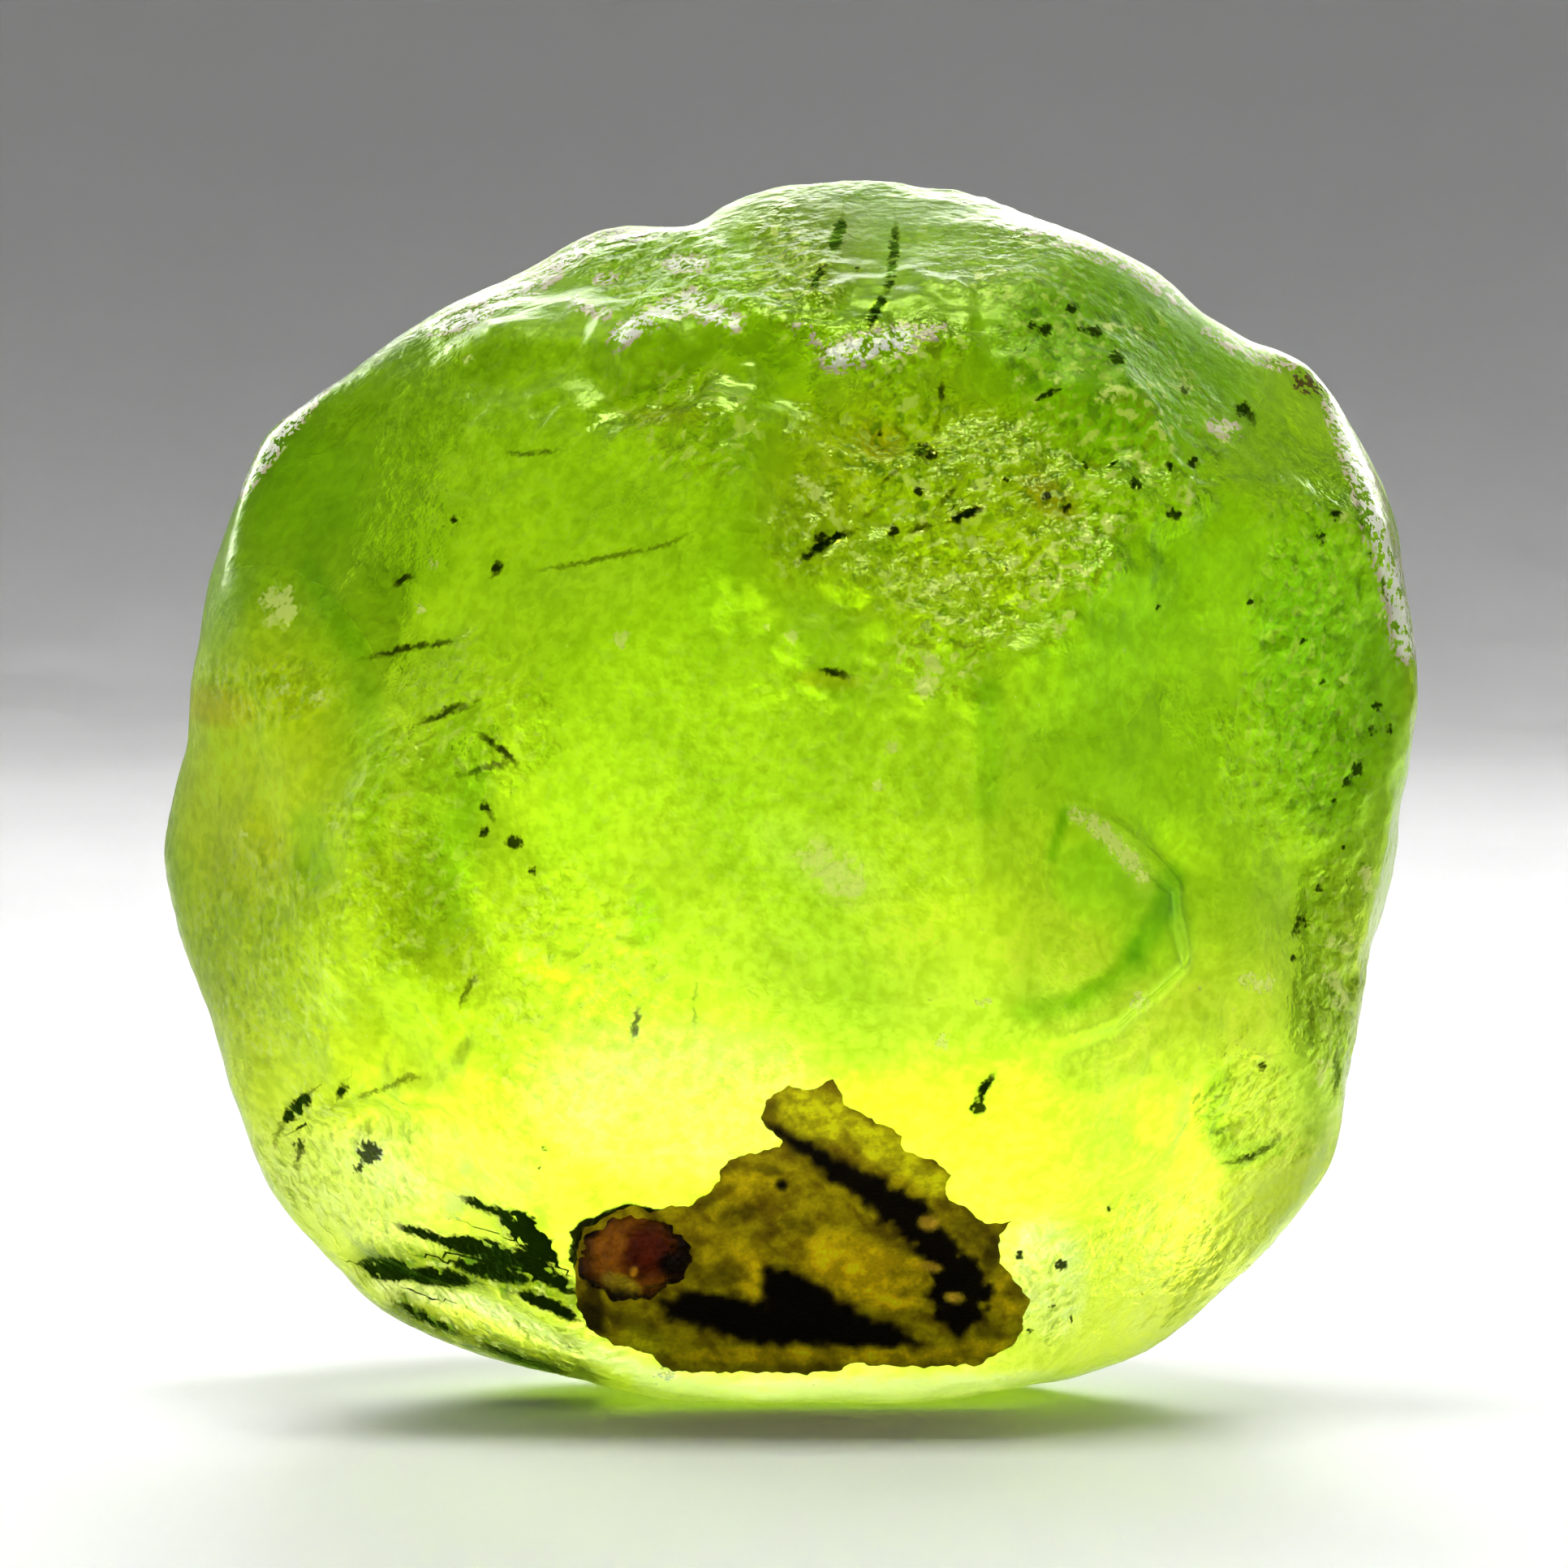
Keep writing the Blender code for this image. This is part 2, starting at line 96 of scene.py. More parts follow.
HOLLOWS = {
    "rough scoop": (14, 27, 2.5, 1.9, -24, 0.34),
    "valley under the top": (-16, 52, 2.3, 0.75, 8, 0.26),
    "valley right of it": (12, 47, 1.7, 0.6, -14, 0.24),
    "dish by the ledge": (27, 3, 1.3, 1.9, 12, 0.16),
    "chip at the right": (66, -14, 1.1, 1.5, 10, 0.20),
    "dent at lower left": (-47, -24, 1.3, 1.0, 30, 0.20),
    "dish at the left": (-50, 12, 1.2, 2.3, -10, 0.14),
    "back scallop": (158, 24, 2.8, 2.0, 25, 0.42),
    "back chip": (-150, -18, 1.9, 2.5, -20, 0.34),
    "back right dish": (112, 14, 1.9, 1.5, 40, 0.26),
    "back left dish": (-104, 22, 1.6, 2.2, 15, 0.26),
    "back foot dent": (150, -30, 1.7, 1.1, 0, 0.24),
    "left side scallop": (-92, -24, 1.7, 1.3, -30, 0.22),
    "crown dent": (120, 70, 1.7, 1.2, 30, 0.26),
}
LIPS = {
    "lip under the top, left": (
        ((-4.43, 12.77), (-3.33, 12.91), (-2.44, 13.10), (-1.94, 12.75), (-1.17, 13.17),
         (-0.58, 12.94)),
        0.20, 0.30,
    ),
    "lip under the top, right": (
        ((-0.10, 12.89), (0.38, 12.55), (1.06, 12.38), (1.74, 12.84), (3.09, 12.26),
         (4.66, 11.98)),
        0.18, 0.32,
    ),
    "left edge of the scoop": (
        ((1.42, 8.31), (0.85, 8.59), (-0.10, 9.64), (-0.38, 10.87), (-0.96, 12.01)), 0.10, 0.30,
    ),
    "right edge of the scoop": (
        ((4.13, 11.06), (3.82, 10.29), (2.85, 9.25), (1.80, 8.40)), 0.12, 0.28,
    ),
    "ledge right of the middle": (
        ((2.76, 4.68), (3.73, 4.94), (4.42, 5.58), (4.32, 6.35), (3.73, 6.95), (3.05, 7.44)),
        0.13, 0.24,
    ),
    "fold at the left": (
        ((-5.42, 9.02), (-4.99, 7.99), (-5.07, 6.95), (-4.50, 5.70)), 0.09, 0.28,
    ),
    "fold left of the middle": (
        ((-4.11, 7.81), (-3.73, 6.76), (-3.25, 5.81), (-2.10, 5.04)), 0.07, 0.26,
    ),
    "lower left rim": (
        ((-6.21, 3.57), (-5.15, 3.96), (-4.15, 3.98), (-3.46, 3.67)), 0.11, 0.22,
    ),
    "lower left ledge": (
        ((-5.54, 2.15), (-4.32, 1.74), (-3.12, 1.42), (-2.25, 0.80)), 0.13, 0.24,
    ),
}
VALLEY_SHARE, VALLEY_PLACE = 0.7, 1.6
LIP_SLOPE, LIP_DROP = 2.6, 0.8
LIP_TAPER = 0.9
LIP_UNEVENNESS, LIP_SPACING = 0.6, 1.1
ETCHED = {
    "rough scoop": (14, 27, 2.8, 2.3, 0.15),
    "top band": (0, 58, 5.2, 1.8, 0.13),
    "upper right": (42, 34, 2.4, 1.7, 0.13),
    "right edge": (72, 6, 1.8, 4.2, 0.08),
    "lower left": (-44, -28, 2.4, 1.9, 0.09),
    "left flank": (-58, -6, 1.9, 4.2, 0.06),
    "lower right swirl": (52, -30, 1.3, 1.3, 0.09),
    "back scallop": (158, 24, 3.1, 2.3, 0.14),
    "back left": (-120, -10, 2.8, 3.2, 0.10),
    "crown": (130, 66, 3.2, 2.2, 0.12),
    "back lower right": (128, -36, 2.7, 1.9, 0.11),
}
LUMP_SPACING = 0.62
SWELL_HEIGHT, SWELL_SPACING = 0.10, 2.6
RIPPLE_HEIGHT, RIPPLE_SPACING = 0.018, 0.8
SWELL_SEED, RIPPLE_SEED, LUMP_SEED, LIP_SEED = 1, 2, 3, 4
SEED_SHIFT = (7.3, 3.1, 5.7)
NOISE_FADE, NOISE_STEP = 0.9, 2.1
PITS = (
    (43, 38, 0.36, 0.20), (61, 17, 0.20, 0.12), (66, 9, 0.17, 0.10), (71, 2, 0.22, 0.13),
    (-40, -24, 0.24, 0.14), (60, -33, 0.30, 0.12), (73, -17, 0.26, 0.14), (8, 24, 0.22, 0.13),
    (150, 18, 0.30, 0.15), (-148, 30, 0.26, 0.12), (172, -14, 0.24, 0.12), (-118, -8, 0.30, 0.14),
)

# The camera, which also places what the front view shows
FRAME_PIXELS = 1932
LENS, SENSOR = 200.0, 36.0
ELEVATION = math.radians(2.0)
AIM = np.array((-0.07, 0.0, 7.50))
DISTANCE = 107.33
AWAY = np.array((0.0, -math.cos(ELEVATION), math.sin(ELEVATION)))
EYE = AIM + DISTANCE * AWAY
VIEW_RIGHT = np.array((1.0, 0.0, 0.0))
VIEW_UP = np.cross(VIEW_RIGHT, -AWAY)
ZOOM = FRAME_PIXELS * LENS / SENSOR

# What the front shows, placed in pixels of that view, right and down
ETCHED_ZONES = {
    # x, y, half width, half height, turn, height of its lumps in mm, share of painted glints and brown
    # flecks, share of pores with painted shade
    "scoop, upper left": (1100, 560, 130, 110, 0, 0.050, 0.75, 0.9),
    "scoop, upper right": (1270, 590, 150, 100, 15, 0.050, 0.9, 0.9),
    "scoop, middle": (1180, 700, 190, 105, 10, 0.050, 0.9, 0.8),
    "scoop, right border": (1310, 690, 110, 75, -45, 0.045, 1.0, 0.3),
    "scoop, foot": (1150, 810, 80, 70, 0, 0.018, 0.9, 0.2),
    "scoop, left border": (1000, 640, 50, 100, 10, 0.018, 0.8, 0.5),
    "top left brow": (820, 325, 170, 60, 10, 0.045, 0.5, 0.3),
    "left of the crown": (975, 340, 65, 95, -15, 0.045, 0.9, 0.5),
    "below the crown": (1100, 425, 120, 45, -5, 0.045, 0.9, 0.4),
    "valley": (850, 520, 110, 80, 20, 0.010, 0.6, 0.4),
    "brow at the upper right": (1250, 330, 140, 70, 20, 0.014, 0.6, 0.4),
    "pores at the upper right": (1340, 430, 130, 90, 20, 0.014, 0.5, 1.0),
    "flecks at the upper right": (1400, 520, 130, 75, 0, 0.016, 0.8, 0.9),
    "below them": (1430, 610, 90, 60, 0, 0.025, 0.4, 0.8),
    "right side, upper": (1625, 720, 90, 170, 5, 0.018, 0.3, 0.8),
    "right side, lower": (1610, 920, 110, 150, 0, 0.020, 0.3, 0.8),
    "lower right edge": (1640, 1200, 50, 190, 0, 0.030, 0.4, 0.6),
    "woven grain at the left": (345, 1170, 120, 160, -15, 0.012, 0.5, 0.35),
    "left of the middle": (690, 1180, 190, 140, 0, 0.016, 0.35, 0.3),
    "steps at the left": (580, 890, 120, 100, 0, 0.024, 0.4, 0.3),
    "shoulder at the left": (330, 850, 110, 50, 0, 0.020, 0.5, 0.2),
    "foot at the left": (430, 1440, 150, 100, 30, 0.024, 0.6, 0.35),
    "swirl": (1545, 1375, 80, 85, 0, 0.035, 0.4, 0.5),
    "middle of the foot": (800, 1350, 230, 110, 0, 0.014, 0.5, 0.15),
    "right of the inclusion": (1290, 1590, 70, 80, 0, 0.030, 0.1, 0.6),
    "foot at the right": (1420, 1540, 170, 80, -20, 0.012, 0.4, 0.2),
    "keel at the left": (600, 1630, 190, 60, 20, 0.030, 0.6, 0.8),
    "blades": (590, 1560, 140, 48, 18, 0.022, 0.5, 1.0),
    "furrow left of the middle": (500, 1030, 110, 200, 5, 0.024, 0.4, 0.3),
    "upper left window": (650, 520, 300, 200, 0, 0.004, 0.10, 0.1),
    "middle": (950, 1000, 320, 260, 0, 0.005, 0.18, 0.1),
}
MATTE_ZONES = {
    # x, y, half width, half height, turn, share
    "left flank": (320, 1000, 190, 330, 0, 0.8),
    "left of the middle": (520, 1150, 170, 260, 0, 0.6),
    "foot at the left": (480, 1370, 200, 150, 20, 0.5),
    "upper right slope": (1370, 430, 210, 170, 20, 0.6),
    "crown": (1110, 320, 190, 120, 5, 0.3),
    "top left": (760, 400, 240, 110, -20, 0.35),
    "right side": (1630, 850, 120, 260, 0, 0.5),
    "foot of the scoop": (1080, 770, 190, 110, 0, 0.5),
    "right edge of the scoop": (1330, 800, 110, 130, 0, 0.4),
    "windows": (950, 900, 480, 480, 0, 0.2),
    "right end of the foot": (1580, 1450, 110, 170, 0, 0.5),
}
# Strengths of red, green and blue: painted shade, the stone's olive and warm tones, painted light and a pale
# painted glow
PAINTED_DEEP_SHADE, OLIVE, WARM = (0.72, 0.88, 0.55), (0.92, 0.72, 0.7), (1.10, 0.94, 1.0)
PAINTED_BRIGHTENING, PAINTED_PALE_GLOW = (1.16, 1.12, 1.1), (1.22, 1.14, 3.2)
# The stone's own tones, such as rust and olive, and painted light and shade where the glow through the stone
# is brighter or darker
TONES_AND_PAINTED_LIGHT = {
    # x, y, half width, half height, turn, visible strength of red, green and blue, share
    "upper left window": (650, 510, 260, 170, 0, (1.02, 1.00, 1.7), 0.9),
    "corner of it": (375, 610, 110, 90, -20, PAINTED_DEEP_SHADE, 0.5),
    "upper left edge": (330, 500, 160, 90, -50, PAINTED_DEEP_SHADE, 0.4),
    "left flank": (310, 930, 130, 200, 0, (1.22, 1.03, 1.0), 1.0),
    "rust at the left": (265, 870, 60, 30, 10, (1.05, 0.80, 0.6), 0.8),
    "rust in the scoop": (1292, 612, 50, 24, 35, (0.98, 0.60, 0.3), 0.8),
    "rust at the scoop's left": (1085, 545, 36, 28, 30, (0.98, 0.66, 0.3), 0.7),
    "rust in the valley": (825, 512, 60, 14, 0, (0.98, 0.76, 0.4), 0.7),
    "rust at the scoop's foot": (1020, 838, 50, 14, 5, (0.98, 0.72, 0.4), 0.7),
    "lower left flank": (370, 1200, 240, 230, 0, (0.84, 0.83, 0.35), 1.0),
    "left of the middle": (580, 1170, 150, 220, 0, (0.78, 0.82, 0.5), 0.9),
    "middle": (980, 900, 330, 300, 0, (0.95, 1.0, 1.2), 0.9),
    "below the middle": (1000, 1240, 450, 130, 0, (0.94, 0.98, 1.2), 0.9),
    "scoop": (1150, 620, 230, 200, 0, (1.04, 0.88, 0.7), 0.9),
    "left edge of the scoop": (1000, 600, 90, 190, 20, OLIVE, 0.4),
    "valley": (860, 490, 150, 100, 10, (0.86, 0.84, 0.5), 0.9),
    "left of the crown": (1000, 300, 90, 100, 0, OLIVE, 0.6),
    "right window": (1500, 880, 280, 340, 0, (0.72, 0.90, 0.3), 0.9),
    "upper right slope": (1380, 450, 200, 150, 20, (0.66, 0.80, 0.3), 1.0),
    "crown": (1120, 300, 190, 110, 5, (0.84, 0.84, 0.2), 1.0),
    "right side": (1640, 820, 110, 240, 0, (0.74, 0.92, 0.4), 0.8),
    "lower right side": (1620, 1270, 55, 190, 0, PAINTED_DEEP_SHADE, 0.6),
    "under the ledge": (1345, 1085, 60, 60, 0, PAINTED_DEEP_SHADE, 0.9),
    "beside the ledge": (1420, 1150, 60, 70, 0, PAINTED_DEEP_SHADE, 0.9),
    "furrow left of the middle": (555, 1010, 55, 190, 8, PAINTED_DEEP_SHADE, 0.5),
    "steps left of the middle": (700, 1060, 60, 110, 0, PAINTED_DEEP_SHADE, 0.35),
    "middle of the foot": (830, 1355, 220, 110, 0, PAINTED_PALE_GLOW, 0.8),
    "foot at the left": (430, 1460, 150, 80, 30, PAINTED_PALE_GLOW, 0.45),
    "left of the inclusion": (560, 1440, 170, 60, 10, PAINTED_PALE_GLOW, 0.4),
    "bright middle": (1010, 1060, 110, 50, 30, PAINTED_PALE_GLOW, 0.5),
    "below the bright middle": (1240, 1150, 200, 80, 0, PAINTED_BRIGHTENING, 0.5),
    "foot at the right": (1500, 1540, 190, 90, -40, (1.3, 1.2, 1.3), 0.9),
    "right of the inclusion": (1290, 1570, 60, 90, 0, PAINTED_PALE_GLOW, 0.8),
}
# Painted shade along creases, hollows, the keel and between the blades, painted highlights and glow along the
# ledge, a crest, the foot and the lower right rim, and a warmer tone along the upper right rim
PAINTED_SHADE_AND_GLOW_LINES = {
    # its points, half width, visible strength, share
    "wave in the middle": (((905, 1000), (960, 1090), (1030, 1180), (1050, 1230)), 60, PAINTED_DEEP_SHADE, 0.4),
    "foot of the dish": (((1402, 1190), (1368, 1215), (1330, 1236), (1262, 1246)), 18, PAINTED_DEEP_SHADE, 1.0),
    "side of the dish": (((1216, 850), (1219, 930), (1216, 996)), 20, PAINTED_DEEP_SHADE, 0.8),
    "crease at the left": (((380, 700), (405, 745), (440, 800)), 18, PAINTED_DEEP_SHADE, 0.8),
    "hollow at the left": (((378, 1020), (382, 1070)), 30, PAINTED_DEEP_SHADE, 0.8),
    "shade left of the middle": (((792, 1110), (796, 1150)), 22, PAINTED_DEEP_SHADE, 0.9),
    "edge of the steps": (((450, 850), (470, 930), (455, 1040)), 20, PAINTED_DEEP_SHADE, 0.5),
    "streak right of it": (((590, 960), (556, 1040), (570, 1130)), 22, PAINTED_DEEP_SHADE, 0.5),
    "arc of the swirl": (((1500, 1330), (1495, 1390), (1520, 1430), (1575, 1415)), 18, PAINTED_DEEP_SHADE, 0.8),
    "streak beside the ledge": (((1313, 1000), (1305, 1025), (1296, 1055)), 9, (0.50, 0.70, 0.2), 1.0),
    "shade beside the ledge": (((1445, 1080), (1432, 1125), (1400, 1170)), 20, (0.60, 0.78, 0.3), 1.0),
    "shade under the ledge": (((1400, 1165), (1370, 1200), (1320, 1235)), 13, (0.66, 0.80, 0.3), 1.0),
    "ledge": (((1322, 1000), (1350, 1018), (1375, 1042), (1402, 1064), (1412, 1095)), 15, PAINTED_PALE_GLOW, 1.0),
    "crest above the keel": (
        ((470, 1583), (575, 1600), (640, 1627), (690, 1652), (775, 1684), (822, 1702)), 13, PAINTED_PALE_GLOW, 1.0,
    ),
    "keel": (((490, 1608), (550, 1640), (630, 1672), (722, 1698)), 23, (0.30, 0.32, 0.1), 1.0),
    "between the blades": (((455, 1556), (560, 1564), (640, 1572), (700, 1600)), 30, (0.40, 0.44, 0.2), 1.0),
    "foot": (((800, 1708), (900, 1716), (1100, 1716), (1300, 1708)), 20, PAINTED_PALE_GLOW, 1.0),
    "lower right rim": (((1300, 1710), (1420, 1675), (1530, 1580), (1610, 1475), (1645, 1370)), 9, PAINTED_PALE_GLOW, 1.0),
    "upper right rim": (((1690, 560), (1735, 760), (1742, 900)), 9, WARM, 0.8),
}
# Painted highlights on the ridges and painted reflections on the rims, drawn as opaque white and pink strokes
PAINTED_HIGHLIGHTS = {
    # its points, half width, share
    "crescent at the left": (((298, 600), (350, 532), (400, 470), (438, 435)), 12, 1.0),
    "white spot at the top left": (((526, 402), (560, 398), (595, 386)), 13, 1.0),
    "band at the top left": (((600, 372), (655, 350), (700, 318), (725, 292)), 17, 0.75),
    "left ridge, left": (((762, 416), (800, 392), (838, 376)), 16, 1.0),
    "left ridge, middle": (((838, 374), (860, 368)), 17, 1.0),
    "left ridge, right": (((866, 384), (905, 397)), 13, 1.0),
    "above the left ridge": (((738, 345), (756, 343)), 8, 0.8),
    "left of the left ridge": (((706, 372), (745, 388)), 9, 0.7),
    "crest of the left ridge": (((828, 325), (862, 326)), 12, 0.9),
    "rim left of the crown": (((905, 252), (950, 243), (985, 230)), 10, 0.7),
    "right ridge": (((1030, 440), (1080, 424), (1112, 418)), 22, 1.0),
    "right end of the right ridge": (((1120, 408), (1160, 408)), 12, 0.6),
    "left end of the right ridge": (((985, 405), (1030, 432)), 12, 0.5),
    "rim at the upper right": (((1255, 275), (1330, 300), (1400, 330), (1460, 375)), 14, 0.65),
    "rim right of it": (((1490, 412), (1530, 432), (1590, 452)), 12, 0.5),
    "strip at the right": (((1648, 500), (1675, 580), (1700, 660), (1722, 735), (1734, 800)), 20, 0.9),
    "ring pit": (((1500, 526), (1518, 530)), 14, 0.7),
}
RUSTY = {
    "notch at the top left": (((733, 284), (780, 287), (820, 277), (858, 264)), 12, 1.0),
    "corner at the right": (((1605, 470), (1635, 476)), 14, 0.9),
}
DARK_SPOTS = {
    # x, y, radius
    "in the scoop": (
        (1137, 555, 14), (1133, 605, 8), (1084, 532, 8), (1290, 612, 9), (1312, 625, 9),
        (1240, 700, 6), (1100, 655, 9), (1150, 560, 8), (1012, 664, 11), (1240, 590, 6),
    ),
    "at the upper right": (
        (1532, 505, 12), (1284, 488, 9), (1338, 573, 7), (1373, 572, 7), (1399, 597, 10),
        (1376, 441, 13), (1288, 407, 10), (1350, 410, 11), (1320, 380, 9), (1442, 574, 9),
        (1470, 570, 9), (1447, 634, 12), (1272, 400, 7), (1335, 405, 8), (1262, 430, 6),
        (1460, 480, 8), (1300, 480, 7),
    ),
    "near the crown": ((1057, 332, 6), (1027, 302, 9)),
    "left of the middle": ((596, 1025, 10), (598, 995, 8), (634, 1038, 12), (657, 1073, 8)),
    "at the upper left": ((558, 640, 7), (612, 700, 9)),
    "at the right side": (
        (1645, 635, 10), (1627, 662, 11), (1690, 685, 8), (1697, 870, 9), (1690, 900, 9),
        (1712, 899, 8), (1542, 740, 8), (1427, 748, 6), (1673, 948, 12), (1660, 965, 9),
        (1643, 990, 7), (1714, 750, 9), (1630, 840, 7), (1605, 790, 6), (1625, 1095, 8),
        (1604, 1136, 12), (1596, 1150, 7), (1594, 1180, 7), (1655, 1045, 7),
    ),
    "at the lower right": (
        (1555, 1313, 9), (1256, 1547, 8), (1306, 1558, 10), (1297, 1610, 6), (1320, 1625, 7),
        (1270, 1640, 6), (1410, 1593, 6), (1204, 1364, 12), (1366, 1490, 5), (1540, 1425, 8),
    ),
    "at the lower left": ((455, 1420, 20), (442, 1440, 9), (672, 1415, 6), (666, 1440, 5), (368, 1412, 9)),
}
# Round painted highlights and painted glow
PAINTED_BRIGHT_SPOTS = {
    # x, y, radius
    "at the left": (
        (345, 746, 26), (330, 742, 14), (389, 858, 13), (348, 848, 11), (577, 442, 7),
        (534, 695, 9), (766, 787, 11), (518, 750, 7), (410, 1015, 8), (300, 1030, 7),
    ),
    "in the middle": (
        (1005, 1055, 26), (1045, 1090, 24), (1035, 1080, 30), (1160, 1284, 11), (1213, 1236, 9),
        (1404, 1233, 13), (1325, 1004, 11), (1335, 1008, 12), (1346, 1015, 14),
        (1357, 1024, 14), (1368, 1034, 14), (1379, 1046, 14), (1390, 1057, 13), (1398, 1069, 12),
        (1405, 1082, 11), (1098, 920, 9), (1082, 968, 8), (975, 785, 9), (945, 775, 6),
    ),
    "in the scoop": (
        (985, 592, 10), (1010, 610, 12), (1202, 666, 12), (1141, 847, 15), (1150, 815, 14),
        (1295, 718, 12), (1280, 730, 12), (1306, 773, 10), (1320, 755, 9), (1366, 650, 12),
        (1383, 639, 9), (1150, 722, 12), (1340, 665, 10), (1316, 648, 9), (1250, 690, 9),
    ),
    "at the upper right": (
        (1509, 529, 17), (1255, 470, 8), (1368, 403, 8), (1400, 408, 9), (1375, 484, 14),
        (1355, 490, 9), (1460, 475, 12), (1233, 335, 9), (1656, 638, 9), (1410, 577, 10),
        (1465, 612, 10), (1270, 300, 8), (1205, 340, 8), (1300, 470, 7), (1330, 610, 7),
    ),
    "at the right side": (
        (1557, 1214, 14), (1537, 1207, 12), (1660, 1165, 13), (1644, 1162, 10), (1640, 1207, 14),
        (1653, 1232, 14), (1629, 1310, 11), (1627, 1330, 9), (1683, 1075, 12), (1684, 1095, 9),
        (1700, 760, 8), (1655, 838, 8),
    ),
    "at the foot": (
        (1275, 1590, 14), (1262, 1570, 12), (1240, 1530, 14), (560, 1485, 18), (620, 1512, 14),
        (575, 1440, 10), (820, 1690, 12), (700, 1652, 12), (400, 1370, 9), (420, 1380, 7),
    ),
}
CRACKS = {
    # its points, half width, share
    "upper left 1": (((621, 557), (650, 559), (692, 554)), 4.0, 0.75),
    "upper left 2": (((741, 521), (765, 524), (789, 516)), 3.4, 0.6),
    "upper left 3": (((658, 705), (700, 697), (760, 684), (820, 672), (855, 655)), 3.4, 0.85),
    "upper left 4": (((484, 724), (497, 714), (510, 709)), 5.0, 0.9),
    "upper left 5": (((612, 680), (615, 702), (603, 712)), 5.0, 0.8),
    "left 1": (((443, 812), (475, 806), (506, 797), (540, 793), (567, 788)), 4.4, 0.95),
    "left 2": (((514, 892), (545, 880), (577, 866)), 5.4, 0.8),
    "left 3": (((560, 880), (592, 862)), 4.6, 0.7),
    "left 4": (((588, 903), (618, 924), (642, 947)), 5.4, 0.85),
    "left 5": (((558, 957), (590, 948), (640, 937)), 5.0, 0.75),
    "left 6": (((540, 902), (502, 926)), 3.0, 0.6),
    "left 7": (((592, 985), (610, 1015)), 4.0, 0.8),
    "crown 1": (((1038, 268), (1033, 290), (1024, 310)), 8.0, 1.0),
    "crown 2": (((1018, 322), (1004, 345), (1006, 362)), 6.0, 0.9),
    "crown 3": (((1104, 272), (1101, 310), (1098, 342), (1089, 367)), 6.5, 0.9),
    "crown 4": (((1089, 363), (1080, 380), (1071, 402)), 7.0, 1.0),
    "below the crown": (((1160, 470), (1160, 496)), 4.6, 0.9),
    "scoop 1": (((1005, 821), (1025, 828), (1048, 833)), 5.0, 0.95),
    "scoop 2": (((985, 692), (1000, 681), (1030, 662), (1052, 655)), 7.0, 0.85),
    "scoop 3": (((1168, 645), (1190, 634), (1212, 624)), 6.5, 0.9),
    "scoop 4": (((1118, 656), (1150, 646)), 5.0, 0.8),
    "scoop 5": (((1080, 600), (1112, 572)), 5.0, 0.6),
    "scoop 6": (((1152, 628), (1180, 598)), 5.0, 0.65),
    "scoop 7": (((1060, 640), (1092, 618)), 5.0, 0.6),
    "scoop 8": (((1122, 545), (1100, 520)), 5.0, 0.5),
    "scoop 9": (((1160, 500), (1150, 540)), 4.0, 0.6),
    "right of the inclusion": (((1226, 1322), (1212, 1340), (1202, 1368)), 6.5, 0.85),
    "left edge 1": (((381, 1348), (368, 1363), (350, 1382)), 9.0, 1.0),
    "left edge 2": (((353, 1380), (344, 1397), (335, 1417)), 4.0, 0.9),
    "left edge 3": (((427, 1332), (416, 1354)), 6.0, 0.9),
    "left edge 4": (((375, 1403), (368, 1423), (364, 1439)), 6.0, 0.7),
    "arc at the lower left": (((437, 1354), (470, 1341), (505, 1327), (530, 1328)), 4.2, 0.8),
    "blade 1, point": (((567, 1475), (600, 1488), (632, 1503)), 6.0, 1.0),
    "blade 1, body": (((618, 1497), (640, 1510), (660, 1530), (682, 1552)), 17.0, 1.0),
    "blade 2, point": (((487, 1509), (520, 1520), (552, 1530)), 6.0, 1.0),
    "blade 2, body": (((540, 1528), (600, 1541), (660, 1560), (706, 1592)), 13.0, 1.0),
    "blade 3, left": (((447, 1557), (480, 1565), (512, 1568)), 13.0, 1.0),
    "blade 3, middle": (((500, 1570), (545, 1574), (580, 1580)), 12.0, 0.85),
    "blade 3, right": (((560, 1556), (600, 1566), (650, 1578)), 11.0, 0.9),
    "blade 4": (((636, 1592), (670, 1604), (712, 1626)), 9.0, 0.9),
    "keel 1": (((486, 1604), (540, 1632), (570, 1646)), 7.0, 0.8),
    "keel 2": (((590, 1655), (640, 1676), (700, 1692)), 7.0, 0.8),
    "left of the middle 1": (((787, 1240), (782, 1262), (779, 1288)), 6.0, 0.7),
    "left of the middle 2": (((857, 1203), (856, 1240), (855, 1282)), 3.6, 0.6),
    "left of the middle 3": (((566, 1243), (576, 1217), (590, 1199)), 5.0, 0.7),
    "right edge 1": (((1616, 1226), (1615, 1262), (1617, 1298)), 4.0, 0.8),
    "right edge 2": (((1647, 1282), (1648, 1320), (1644, 1357)), 5.0, 0.85),
    "swirl": (((1503, 1434), (1540, 1428), (1565, 1412), (1583, 1394)), 5.0, 0.8),
    "right pit 1": (((1520, 500), (1538, 508), (1546, 525)), 6.0, 0.7),
    "right pit 2": (((1482, 545), (1492, 556), (1508, 562)), 5.0, 0.5),
    "strip, inner edge 1": (((1668, 600), (1682, 660)), 4.0, 0.7),
    "strip, inner edge 2": (((1700, 700), (1716, 760)), 5.0, 0.8),
}
CRACK_GROUPS = 3

